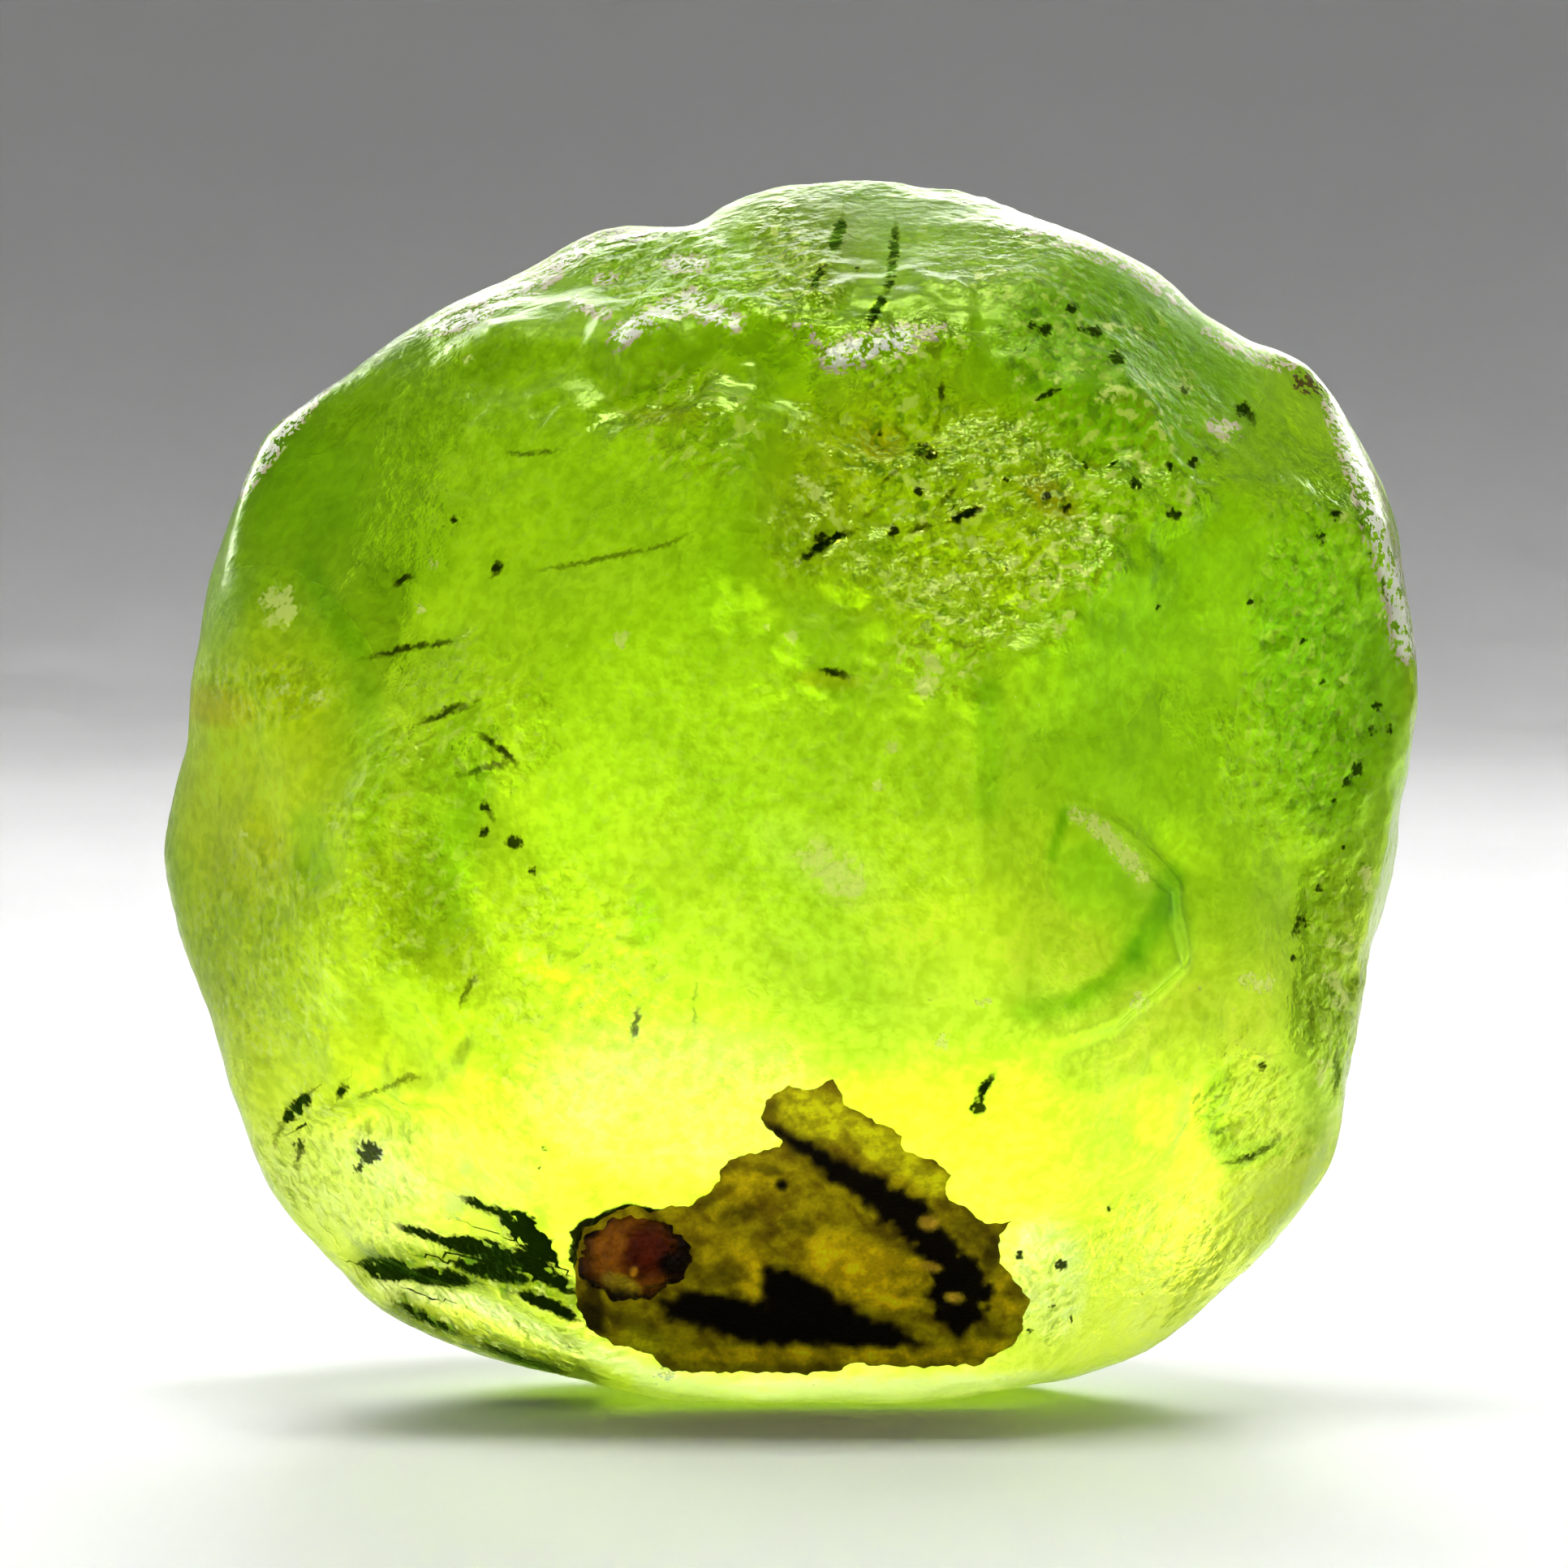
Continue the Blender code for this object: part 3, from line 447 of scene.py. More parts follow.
# The two inclusions, in the same pixels
PATCH_EDGE = (
    (937, 1380), (942, 1359), (952, 1347), (973, 1338), (994, 1342), (1011, 1338), (1027, 1331),
    (1034, 1342), (1040, 1359), (1057, 1370), (1077, 1382), (1098, 1390), (1111, 1401),
    (1114, 1417), (1136, 1426), (1157, 1434), (1171, 1447), (1163, 1463), (1169, 1480),
    (1186, 1486), (1202, 1497), (1213, 1509), (1246, 1505), (1232, 1520), (1230, 1538),
    (1232, 1555), (1244, 1572), (1257, 1588), (1269, 1601), (1261, 1622), (1259, 1638),
    (1252, 1651), (1240, 1659), (1223, 1672), (1202, 1681), (1161, 1682), (1119, 1683),
    (1077, 1682), (1048, 1678), (1032, 1688), (994, 1692), (952, 1690), (911, 1690), (869, 1690),
    (836, 1690), (819, 1686), (802, 1670), (782, 1661), (761, 1657), (740, 1647), (723, 1634),
    (713, 1613), (709, 1588), (709, 1547), (719, 1513), (744, 1501), (761, 1490), (782, 1487),
    (802, 1495), (819, 1488), (848, 1486), (873, 1472), (886, 1455), (890, 1436), (907, 1426),
    (932, 1420), (961, 1413), (965, 1405), (948, 1392),
)
PATCH_SPACING = 4.5
PATCH_PROUD, PATCH_THIN, PATCH_THICK = 0.012, 0.03, 0.85
SEAM = (
    # x, y, half width
    (937, 1380, 2), (969, 1401, 7), (998, 1418, 10), (1032, 1443, 12), (1065, 1459, 13),
    (1094, 1484, 18), (1119, 1497, 20), (1140, 1522, 18), (1161, 1547, 20), (1178, 1572, 26),
    (1182, 1601, 32), (1182, 1626, 22), (1182, 1648, 3),
)
# A black wedge painted as the shadow in a hollow of the inclusion
WEDGE = (
    (946, 1567), (969, 1567), (994, 1578), (1015, 1592), (1040, 1609), (1069, 1624), (1094, 1634),
    (1119, 1647), (1132, 1655), (1098, 1657), (1057, 1657), (1015, 1655), (973, 1653),
    (932, 1655), (907, 1647), (882, 1636), (848, 1628), (823, 1620), (819, 1605), (848, 1597),
    (873, 1595), (898, 1599), (923, 1607), (946, 1609), (944, 1588),
)
OLIVE_PAINT, BROWN_PAINT = (0.52, 0.42, 0.004), (0.24, 0.17, 0.002)
GOLD_PAINT, LIME_PAINT, CRUMB_PAINT = (1.0, 0.74, 0.006), (1.0, 0.98, 0.015), (0.75, 0.50, 0.05)
BLACK_PAINT = (0.006, 0.003, 0.0)
# The stain's gold and lime, brightened as a painted glow where light shines through from behind
PATCH_GLOWS = {
    # x, y, half width, half height, turn, colour, share
    "gold in the middle": (1060, 1565, 100, 45, 20, GOLD_PAINT, 0.95),
    "gold beside the wedge": (1096, 1598, 34, 16, 10, GOLD_PAINT, 1.0),
    "gold above the wedge": (930, 1570, 30, 45, -20, GOLD_PAINT, 0.8),
    "gold band at the foot": (1020, 1670, 200, 15, 0, GOLD_PAINT, 0.95),
    "gold at the lower right": (1205, 1665, 50, 18, -10, GOLD_PAINT, 0.8),
    "gold at the right end": (1240, 1600, 25, 34, 0, GOLD_PAINT, 0.6),
    "gold in the seam": (1140, 1559, 26, 9, 10, GOLD_PAINT, 0.9),
    "left of the middle": (870, 1530, 60, 40, 0, GOLD_PAINT, 0.25),
    "shoulder": (920, 1465, 55, 28, 0, GOLD_PAINT, 0.4),
    "apex": (1005, 1374, 62, 36, 20, LIME_PAINT, 1.0),
    "right lobe": (1088, 1415, 70, 26, 32, LIME_PAINT, 0.85),
    "right lobe's end": (1148, 1455, 30, 22, 30, LIME_PAINT, 0.6),
    "green at the lower left": (795, 1655, 36, 22, 20, LIME_PAINT, 0.45),
}
PATCH_SHADOWS = {
    # x, y, half width, half height, turn, share
    "dot": (963, 1460, 10, 9, 0, 1.0),
    "beside the dot": (948, 1442, 22, 8, 10, 0.5),
    "left end": (728, 1622, 20, 34, -25, 0.85),
    "left edge": (733, 1600, 12, 40, -10, 0.7),
    "under the grain": (780, 1630, 46, 14, 20, 0.5),
    "right of the grain": (850, 1560, 20, 30, 0, 0.35),
    "right of the seam": (1200, 1515, 34, 26, 30, 0.45),
    "right end": (1218, 1640, 22, 20, 0, 0.4),
    "spike": (1235, 1512, 18, 8, -20, 0.4),
    "right edge, upper": (1222, 1545, 14, 34, 10, 0.7),
    "right edge, middle": (1250, 1592, 16, 20, -40, 0.6),
    "left of the dot": (905, 1500, 34, 16, -30, 0.45),
    "under the dot": (985, 1510, 30, 12, 25, 0.4),
    "above the wedge": (890, 1575, 40, 14, -15, 0.5),
    "upper left edge": (880, 1474, 40, 10, -30, 0.5),
    "lobe's left edge": (946, 1376, 12, 26, 20, 0.4),
}
PATCH_CRUMBS = {
    # x, y, half width, half height
    "upper": (1144, 1507, 15, 11),
    "middle": (1147, 1561, 16, 7),
    "lower": (1176, 1599, 15, 8),
}
GRAIN_PLACE = (-1.89, -3.46, 2.08)
GRAIN_HALF = (0.70, 0.46, 0.66)
GRAIN_LEAN = 32.0
GRAIN_ROUGHNESS, GRAIN_LUMPS = 0.17, 2.4
FINE_GRAIN_ROUGHNESS, FINE_GRAIN_LUMPS = 0.02, 7.0
GRAIN_PAINT, RIM_PAINT = (0.30, 0.105, 0.003), (0.014, 0.004, 0.001)
GRAIN_MIDDLE = (778, 1546, 66, 58)
GRAIN_MARKS = {
    # x, y, half width, half height, turn, colour
    "dark red": (800, 1542, 44, 40, 0, (0.13, 0.018, 0.002)),
    "orange": (752, 1535, 24, 18, -20, (0.42, 0.15, 0.006)),
    "black": (828, 1560, 24, 18, 20, (0.006, 0.001, 0.0)),
    "ochre": (766, 1584, 30, 15, 25, (0.60, 0.44, 0.02)),
    # A painted sparkle of light
    "painted sparkle": (781, 1567, 6, 8, 20, (0.75, 0.36, 0.02)),
}

# How finely the stone is built and painted
GRID = 129
FRONT_CROWDING = 0.3
ZONE_RAGGEDNESS = 0.6
FULL_ETCH = 0.04
CALM_EDGE = 25
FINE_SPACING, FINE_SEED = 0.20, 11
FINE_LEAST, FINE_SHARE = 0.012, 0.22
STREAK_LEAN, STREAK_LENGTH = 38.0, 1.35
# Painted shade at the top of the stone grading to a painted glow at its foot, with more blue at the back of
# the foot
SHADE_TO_GLOW_TOP = 13.5
TOP_PAINTED_SHADE, FOOT_PAINTED_GLOW = (0.86, 0.88, 0.6), (1.30, 1.08, 3.8)
BACK_FOOT_GLOW_BLUE = 2.1
CRACK_FAR, CRACK_REACH = 0.5, 16
CRACK_WOBBLE = 0.03
SEAM_SOFTNESS = 15
CLEAR = (0.66, 0.96, 0.008)
GREEN_SHINE = (0.65, 0.95, 0.10)
CLOUDS = ((0.80, 0.84, 0.8), (1.04, 1.03, 1.2))
# Painted shade in the hollows of the fine bump and painted light on its tops
BUMP_SHADE_AND_LIGHT = ((0.78, 0.82, 0.6), (1.14, 1.12, 1.5))
# Painted glints, the etching's brown flecks, and the painted shade in its pores
GLINT_PAINT, BROWN_FLECK, PORE_SHADE_PAINT = (1.0, 1.0, 0.40), (0.20, 0.20, 0.003), (0.015, 0.09, 0.0)
# The colour of the painted bright spots, and of the dark marks
BRIGHT_SPOT_PAINT, DARK_MARK = (1.0, 1.0, 0.45), (0.008, 0.022, 0.0)
# Rust, the pink of the painted reflections and the white of the painted highlights
RUST, PINK_REFLECTION_PAINT, WHITE_HIGHLIGHT_PAINT = (0.10, 0.045, 0.004), (0.66, 0.56, 0.44), (0.98, 0.97, 0.88)
BUMP_HEIGHT = 0.13
PERIDOT_IOR, PAINTED_IOR = 1.67, 1.25
GREEN_DEPTH, GREEN_DENSITY = (0.90, 0.98, 0.60), 280.0

# How softly painted marks end, and what the stone's sides and back get
FRONT_START, FRONT_FADE, ON_FRONT = 0.02, 0.12, 0.5
STROKE_REACH, SPOT_REACH = 1.3, 1.15
PIXELS_IN_MM = 100
CRACK_TIP = 0.1
BACK_START, BACK_FADE = 1.0, 3.0
SIDE_END, SIDE_FADE = 0.5, 1.2
FULL_ROUGH, LEAST_ASIDE = 0.12, 0.25
ETCHED_MATTE, SIDE_MATTE, BACK_ETCHED = 0.3, 0.8, 0.6
DIMPLE_LEVEL, DIMPLE_RANGE = 0.45, 0.9
SIDE_GLINTED_AND_FLECKED, SIDE_PORED = 0.6, 0.7

# Uneven values: width and height of their lumps, seed and octaves
ZONE_MOTTLE = (45, 45, 2.2, 3)
SIDE_MOTTLE, DIMPLE_MOTTLE = (0.8, 0.8, 8.1, 3), (2.4, 2.4, 3.4, 2)
LIFT_MOTTLE, SEAM_MOTTLE = (32, 32, 4.2, 3), (17, 17, 9.1, 2)
PAINT_MOTTLE, FIBRE_MOTTLE = (38, 26, 1.7, 4), (60, 16, 6.3, 3)
WEDGE_MOTTLE, GRAIN_MOTTLE = (18, 18, 5.6, 2), (26, 26, 3.3, 4)

# The stone's fine noise: size in mm, detail and shift
CLOUD_NOISE, LUMP_NOISE = (0.9, 1), (0.16, 2, 0.3)
GRIT_NOISE, FLECK_NOISE = (0.06, 1, 0.7), (0.13, 1, 0.5)
UNEVENNESS = 1.6

# The stone's marks: from where to where each fades in, and how strongly it shows
SOFT_STEP, GLINT_STEP, BROWN_STEP, PORE_STEP = (0.36, 0.64), (0.56, 0.64), (0.45, 0.36), (0.43, 0.34)
BRIGHT_SPOT_STEP, WHITE_HIGHLIGHT_STEP = (-0.1, 0.9), (0.5, 0.95)
GLINT_SHARE, BROWN_SHARE, PORE_SHARE, BRIGHT_SPOT_SHARE = 0.95, 0.85, 0.8, 0.85
BREAK_UP, BROKEN_STEP, PAINTED_STEP = 2.0, (0.45, 0.75), (0.05, 0.3)
DARK_RAGGEDNESS, DARK_STEP, DARK_SHARE = 0.5, (0.05, 0.75), 0.95
CRACK_BREAKS, CRACK_WIDTHS, CRACK_EDGE = (0.25, 0.5), (0.35, 1.15), (-0.025, 0.035)
THIN_CRACK, THIN_SHARES, LEAST_CRACK = (0.03, 0.06), (0.6, 1.0), (0.004, 0.03)
CLEAR_ROUGH, FROST_ROUGH, CLOUD_ROUGH = 0.16, 0.66, 0.08
CALM_BUMP, BUMP_STRENGTH = 0.12, 0.8
HIGHLIGHT_OPAQUE, RUST_OPAQUE, GLINT_AND_SPOT_OPAQUE = 0.9, 0.7, 0.45
DARK_METAL = 0.92

# The two inclusions' noise, shades and bump, in mm, with painted shade in the bump's hollows and painted
# light on its tops
MINERAL_NOISE, MINERAL_GRIT, MINERAL_STEP = (0.26, 4), (0.05, 2, 0.5), (0.36, 0.62)
MINERAL_SHADES, GRIT_SHADE_AND_LIGHT = ((0.76, 0.72, 0.6), (1.25, 1.25, 1.2)), ((0.7, 0.7, 0.7), (1.3, 1.3, 1.3))
GRIT_HEIGHT, GRIT_STRENGTH = 0.03, 0.5

# Their edges, seams and paint, with lengths in pixels of the front view
EDGE_LUMPS, EDGE_SEED, EDGE_RAGGEDNESS = 9, 0.5, 4.0
EDGE_DRAW = 1
INNER_MARGIN, SAME_POINT = 0.6, 1e-3
LIFT_LUMPS, LUMPS_INWARD = 0.6, 15
RIM_LIFT, INNER_LIFT, RIM_INWARD, THICK_INWARD = 0.3, 0.7, 12, 60
SHARP_ANGLE = 40
SEAM_WIDTH, SEAM_UNEVENNESS = 1.25, 0.6
OLIVE_WEAVE, GLOW_WEAVE = (0.45, 0.55, 0.30), (0.75, 0.5, 0.2)
RIM_SHADE, INNER_SHADE = 0.9, 0.1
WEDGE_LEVEL, WEDGE_RAGGEDNESS = 0.85, 0.5
CRUMB_TURN = 10
GRAIN_UNEVENNESS = 0.7
GRAIN_RIM_SLOPE, GRAIN_RIM_START, GRAIN_RIM_RAGGEDNESS = 1.8, 0.75, 0.6
GRAIN_STEPS, GRAIN_OCTAVES = 6, 3


def direction(azimuth, elevation):
    a, e = math.radians(azimuth), math.radians(elevation)
    return np.array((math.sin(a) * math.cos(e), -math.cos(a) * math.cos(e), math.sin(e)))


def turning_average(values, spread):
    count = len(values)
    steps = np.minimum(np.arange(count), count - np.arange(count))
    bell = np.exp(-0.5 * (steps / spread) ** 2)
    mixed = np.fft.ifft(np.fft.fft(values) * np.fft.fft(bell / bell.sum()))
    return mixed.real


def outline_radius():
    points = np.array(OUTLINE) - (0.0, MIDDLE_Z)
    angles = np.degrees(np.arctan2(points[:, 1], points[:, 0])) % 360
    order = np.argsort(angles)
    turn = np.arange(360 * OUTLINE_STEPS_PER_DEG) / OUTLINE_STEPS_PER_DEG
    radii = np.interp(turn, angles[order], np.hypot(*points.T)[order], period=360)
    close = turning_average(radii, CORNER_ROUNDING_DEG * OUTLINE_STEPS_PER_DEG)
    smooth = turning_average(radii, SMOOTH_OUTLINE_DEG * OUTLINE_STEPS_PER_DEG)
    return (
        lambda angle: np.interp(angle, turn, close, period=360),
        lambda angle: np.interp(angle, turn, smooth, period=360),
    )


def rounded_form(ways):
    across, deep = np.hypot(ways[:, 0], ways[:, 2]), np.abs(ways[:, 1])
    angle = np.degrees(np.arctan2(ways[:, 2], ways[:, 0])) % 360
    close, smooth = outline_radius()
    fade = np.clip((deep - CORNERS_LAST) / CORNERS_FADE, 0, 1)
    fade = fade * fade * (3 - 2 * fade)
    radius = close(angle) * (1 - fade) + smooth(angle) * fade
    depth = np.where(ways[:, 1] < 0, FRONT_DEPTH, BACK_DEPTH)
    return ((across / radius) ** ROUNDNESS + (deep / depth) ** ROUNDNESS) ** (-1 / ROUNDNESS)


def blended_minimum(a, b, width):
    near = np.maximum(width - np.abs(a - b), 0) / width
    return np.minimum(a, b) - near * near * width / 4


def cut_faces(ways, reach):
    form = ways * reach[:, None]
    cut = reach.copy()
    for azimuth, elevation, depth in FACES.values():
        normal = direction(azimuth, elevation)
        distance = (form @ normal).max() - depth
        towards = np.maximum(ways @ normal, LEAST_TOWARDS)
        cut = blended_minimum(cut, distance / towards, EDGE_BLEND)
    return cut


def patch(points, azimuth, elevation, half_width, half_height, turn=0.0):
    middle = direction(azimuth, elevation)
    right = np.cross(-middle, (0, 0, 1))
    right /= np.linalg.norm(right)
    up = np.cross(right, -middle)
    spot = points[np.argmax(points @ middle / np.linalg.norm(points, axis=1))]
    offset = points - spot
    c, s = math.cos(math.radians(turn)), math.sin(math.radians(turn))
    u, v = offset @ right, offset @ up
    along, over = (c * u + s * v) / half_width, (c * v - s * u) / half_height
    share = np.clip(1 - along**2 - over**2, 0, 1)
    return np.where(points @ middle > 0, share * share, 0)


def lip(points, line, height, half_width):
    spot, ends = points[:, (0, 2)], np.array(line)
    lengths = np.hypot(*(ends[1:] - ends[:-1]).T)
    nearest = np.full(len(points), np.inf)
    side, place = np.zeros(len(points)), np.zeros(len(points))
    for first, last, length, start in zip(ends[:-1], ends[1:], lengths, np.cumsum(lengths)):
        along = (last - first) / length
        share = np.clip((spot - first) @ along / length, 0, 1)
        offset = spot - (first + share[:, None] * (last - first))
        distance = np.hypot(*offset.T)
        closer = distance < nearest
        side = np.where(closer, along[0] * offset[:, 1] - along[1] * offset[:, 0], side)
        place = np.where(closer, start + (share - 1) * length, place)
        nearest = np.minimum(nearest, distance)
    spread = np.where(side >= 0, LIP_SLOPE, LIP_DROP) * half_width
    raised = np.exp(-((nearest / spread) ** 2))
    hollow = np.exp(-((nearest / half_width - VALLEY_PLACE) ** 2)) * (side < 0)
    taper = np.clip(np.minimum(place, lengths.sum() - place) / LIP_TAPER, 0, 1)
    front = np.clip(-points[:, 1] / LIP_TAPER, 0, 1)
    return height * taper * front * (raised - VALLEY_SHARE * hollow)


def lumps(points, spacing, octaves, seed):
    shift = Vector(SEED_SHIFT) * seed
    return np.array(
        [
            noise.fractal(Vector(p) / spacing + shift, NOISE_FADE, NOISE_STEP, octaves)
            for p in points
        ]
    )


def relief(points):
    height = SWELL_HEIGHT * lumps(points, SWELL_SPACING, 2, SWELL_SEED)
    height += RIPPLE_HEIGHT * lumps(points, RIPPLE_SPACING, 2, RIPPLE_SEED)
    for azimuth, elevation, half_width, half_height, turn, depth in HOLLOWS.values():
        height -= depth * patch(points, azimuth, elevation, half_width, half_height, turn)
    uneven = 1 + LIP_UNEVENNESS * lumps(points, LIP_SPACING, 2, LIP_SEED)
    for line, tall, half_width in LIPS.values():
        height += uneven * lip(points + (0, 0, MIDDLE_Z), line, tall, half_width)
    rough = np.zeros(len(points))
    for azimuth, elevation, half_width, half_height, lump in ETCHED.values():
        share = np.sqrt(patch(points, azimuth, elevation, half_width, half_height))
        rough = np.maximum(rough, lump * share)
    height += rough * lumps(points, LUMP_SPACING, 3, LUMP_SEED)
    for azimuth, elevation, radius, depth in PITS:
        height -= depth * patch(points, azimuth, elevation, radius, radius)
    return height, rough


def cube_sphere(n):
    """Evenly spread unit vectors, and the four-sided faces between them, facing out."""
    index, keys, faces = {}, [], []

    def corner(key):
        if key not in index:
            index[key] = len(keys)
            keys.append(key)
        return index[key]

    for axis in range(3):
        a, b = (axis + 1) % 3, (axis + 2) % 3
        for side in (0, n):
            for i in range(n):
                for j in range(n):
                    ring = []
                    for di, dj in ((0, 0), (1, 0), (1, 1), (0, 1)):
                        key = [0, 0, 0]
                        key[axis], key[a], key[b] = side, i + di, j + dj
                        ring.append(corner(tuple(key)))
                    faces.append(ring if side else ring[::-1])
    spots = np.tan((np.array(keys) / n * 2 - 1) * math.pi / 4)
    return spots / np.linalg.norm(spots, axis=1)[:, None], faces


def new_object(name, mesh):
    thing = bpy.data.objects.new(name, mesh)
    bpy.context.scene.collection.objects.link(thing)
    return thing


def in_view(points):
    """Where the camera sees those points, in pixels of the frame."""
    offset = points - EYE
    depth = offset @ -AWAY
    half = FRAME_PIXELS / 2
    return half + ZOOM * (offset @ VIEW_RIGHT) / depth, half - ZOOM * (offset @ VIEW_UP) / depth


def sight(x, y):
    """The direction from the camera's eye through a pixel of the frame."""
    half = FRAME_PIXELS / 2
    way = -AWAY * ZOOM + VIEW_RIGHT * (x - half) - VIEW_UP * (y - half)
    return Vector(way / np.linalg.norm(way))


def smooth(share):
    share = np.clip(share, 0, 1)
    return share * share * (3 - 2 * share)


def ellipse(px, py, x, y, half_width, half_height, turn=0.0):
    """The squared distance from an ellipse's middle, 1 on its edge."""
    c, s = math.cos(math.radians(turn)), math.sin(math.radians(turn))
    u, v = px - x, py - y
    return ((c * u + s * v) / half_width) ** 2 + ((c * v - s * u) / half_height) ** 2


def along_line(px, py, line):
    """For each place, its signed distance from a line of points and its share of the way along."""
    ends = np.array(line, dtype=float)[:, :2]
    lengths = np.hypot(*(ends[1:] - ends[:-1]).T)
    spot = np.stack((px, py), axis=1)
    nearest, side = np.full(len(px), np.inf), np.zeros(len(px))
    place = np.zeros(len(px))
    start = 0.0
    for first, last, length in zip(ends[:-1], ends[1:], lengths):
        along = (last - first) / length
        share = np.clip((spot - first) @ along / length, 0, 1)
        offset = spot - (first + share[:, None] * (last - first))
        distance = np.hypot(*offset.T)
        closer = distance < nearest
        side = np.where(closer, along[0] * offset[:, 1] - along[1] * offset[:, 0], side)
        place = np.where(closer, start + share * length, place)
        nearest = np.minimum(nearest, distance)
        start += length
    return np.copysign(nearest, side), place / lengths.sum()


def set_values(mesh, name, values):
    mesh.attributes.new(name, "FLOAT", "POINT").data.foreach_set("value", values)


def set_colours(mesh, name, colours):
    flat = np.concatenate((colours, np.ones((len(colours), 1))), axis=1).ravel()
    mesh.attributes.new(name, "FLOAT_COLOR", "POINT").data.foreach_set("color", flat)


def fine_lumps(points, spacing, octaves, seed, lean=0.0, stretch=1.0):
    """Lumps that are drawn out by that much, leaning that far above the horizontal."""
    c, s = math.cos(math.radians(lean)), math.sin(math.radians(lean))
    turned = np.stack((
        (c * points[:, 0] + s * points[:, 2]) / stretch,
        points[:, 1],
        c * points[:, 2] - s * points[:, 0],
    ), axis=1)
    return lumps(turned, spacing, octaves, seed)


def stroke(px, py, line, half_width):
    """1 on a soft line through those points, 0 a little past its edges."""
    return smooth(STROKE_REACH - np.abs(along_line(px, py, line)[0]) / half_width)


def spot(px, py, *ellipse_values):
    return smooth(SPOT_REACH - ellipse(px, py, *ellipse_values))


def mottle(px, py, size_x, size_y, seed, octaves):
    """Uneven values about -1 to 1, in lumps of that many pixels."""
    return np.array([
        noise.fractal(Vector((x / size_x, y / size_y, seed)), NOISE_FADE, NOISE_STEP, octaves)
        for x, y in zip(px, py)
    ])


def blend(first, last, share):
    return first + (np.array(last) - first) * share[:, None]


def crystal_ways():
    """The directions of the stone's corners, closer together towards the viewer."""
    ways, faces = cube_sphere(GRID)
    ways = ways - (0, FRONT_CROWDING, 0)
    return ways / np.linalg.norm(ways, axis=1)[:, None], faces


def etched_zones(px, py):
    """The height of the lumps, and the shares of etching, painted glints with brown flecks, and pores, at
    those places.
    """
    ragged = ZONE_RAGGEDNESS * mottle(px, py, *ZONE_MOTTLE)
    tall, etched, glinted_and_flecked, pored = np.zeros((4, len(px)))
    for x, y, half_width, half_height, turn, lump, glints_and_flecks, pores in ETCHED_ZONES.values():
        share = smooth(SPOT_REACH - ellipse(px, py, x, y, half_width, half_height, turn) + ragged)
        tall = np.maximum(tall, share * lump)
        etched = np.maximum(etched, share * min(1, lump / FULL_ETCH))
        glinted_and_flecked = np.maximum(glinted_and_flecked, share * glints_and_flecks)
        pored = np.maximum(pored, share * pores)
    return tall, etched, glinted_and_flecked, pored


def crystal_form():
    """The stone's corners in millimetres and its faces, with what the etching left on them."""
    ways, faces = crystal_ways()
    base = ways * cut_faces(ways, rounded_form(ways))[:, None]
    height, rough = relief(base)
    points = base + ways * height[:, None]
    shift = np.zeros(3)
    shift[:2] = (points.min(axis=0)[:2] + points.max(axis=0)[:2]) / 2
    px, py = in_view(points - shift + (0, 0, MIDDLE_Z))
    front = smooth((ways @ AWAY - FRONT_START) / FRONT_FADE)
    tall = etched_zones(px, py)[0] * front * smooth(outline_distance(px, py, PATCH_EDGE) / CALM_EDGE)
    height += tall * fine_lumps(points, FINE_SPACING, 3, FINE_SEED, STREAK_LEAN, STREAK_LENGTH)
    elsewhere = (1 - front) * (FINE_LEAST + FINE_SHARE * rough)
    height += elsewhere * fine_lumps(points, FINE_SPACING, 3, FINE_SEED + 1)
    points = base + ways * height[:, None]
    under = points[:, 2] < -MIDDLE_Z
    points[under] *= (-MIDDLE_Z / points[under, 2])[:, None]
    return points - shift + (0, 0, MIDDLE_Z), faces, front, rough


def crystal_tone_and_painted_light(px, py, high, front):
    """How strongly each colour comes through: painted shade at the top grading to a painted glow at the foot,
    with the stone's own tones and painted light and shade in zones and along lines.
    """
    low = smooth(1 - high / SHADE_TO_GLOW_TOP)
    tone_and_painted_light = blend(np.tile(TOP_PAINTED_SHADE, (len(px), 1)), FOOT_PAINTED_GLOW, low)
    tone_and_painted_light[:, 2] *= 1 + (BACK_FOOT_GLOW_BLUE - 1) * low * (1 - front)
    for *zone, colour, strength in TONES_AND_PAINTED_LIGHT.values():
        tone_and_painted_light *= 1 + (spot(px, py, *zone) * front * strength)[:, None] * (np.array(colour) - 1)
    for line, half_width, colour, strength in PAINTED_SHADE_AND_GLOW_LINES.values():
        share = stroke(px, py, line, half_width) * front * strength
        tone_and_painted_light *= 1 + share[:, None] * (np.array(colour) - 1)
    return tone_and_painted_light**2


def spot_depth(px, py, spots):
    """1 in the middle of each round spot, 0 on its edge and less outside."""
    inside = np.full(len(px), -1.0)
    for group in spots.values():
        for x, y, radius in group:
            inside = np.maximum(inside, 1 - ellipse(px, py, x, y, radius, radius))
    return inside


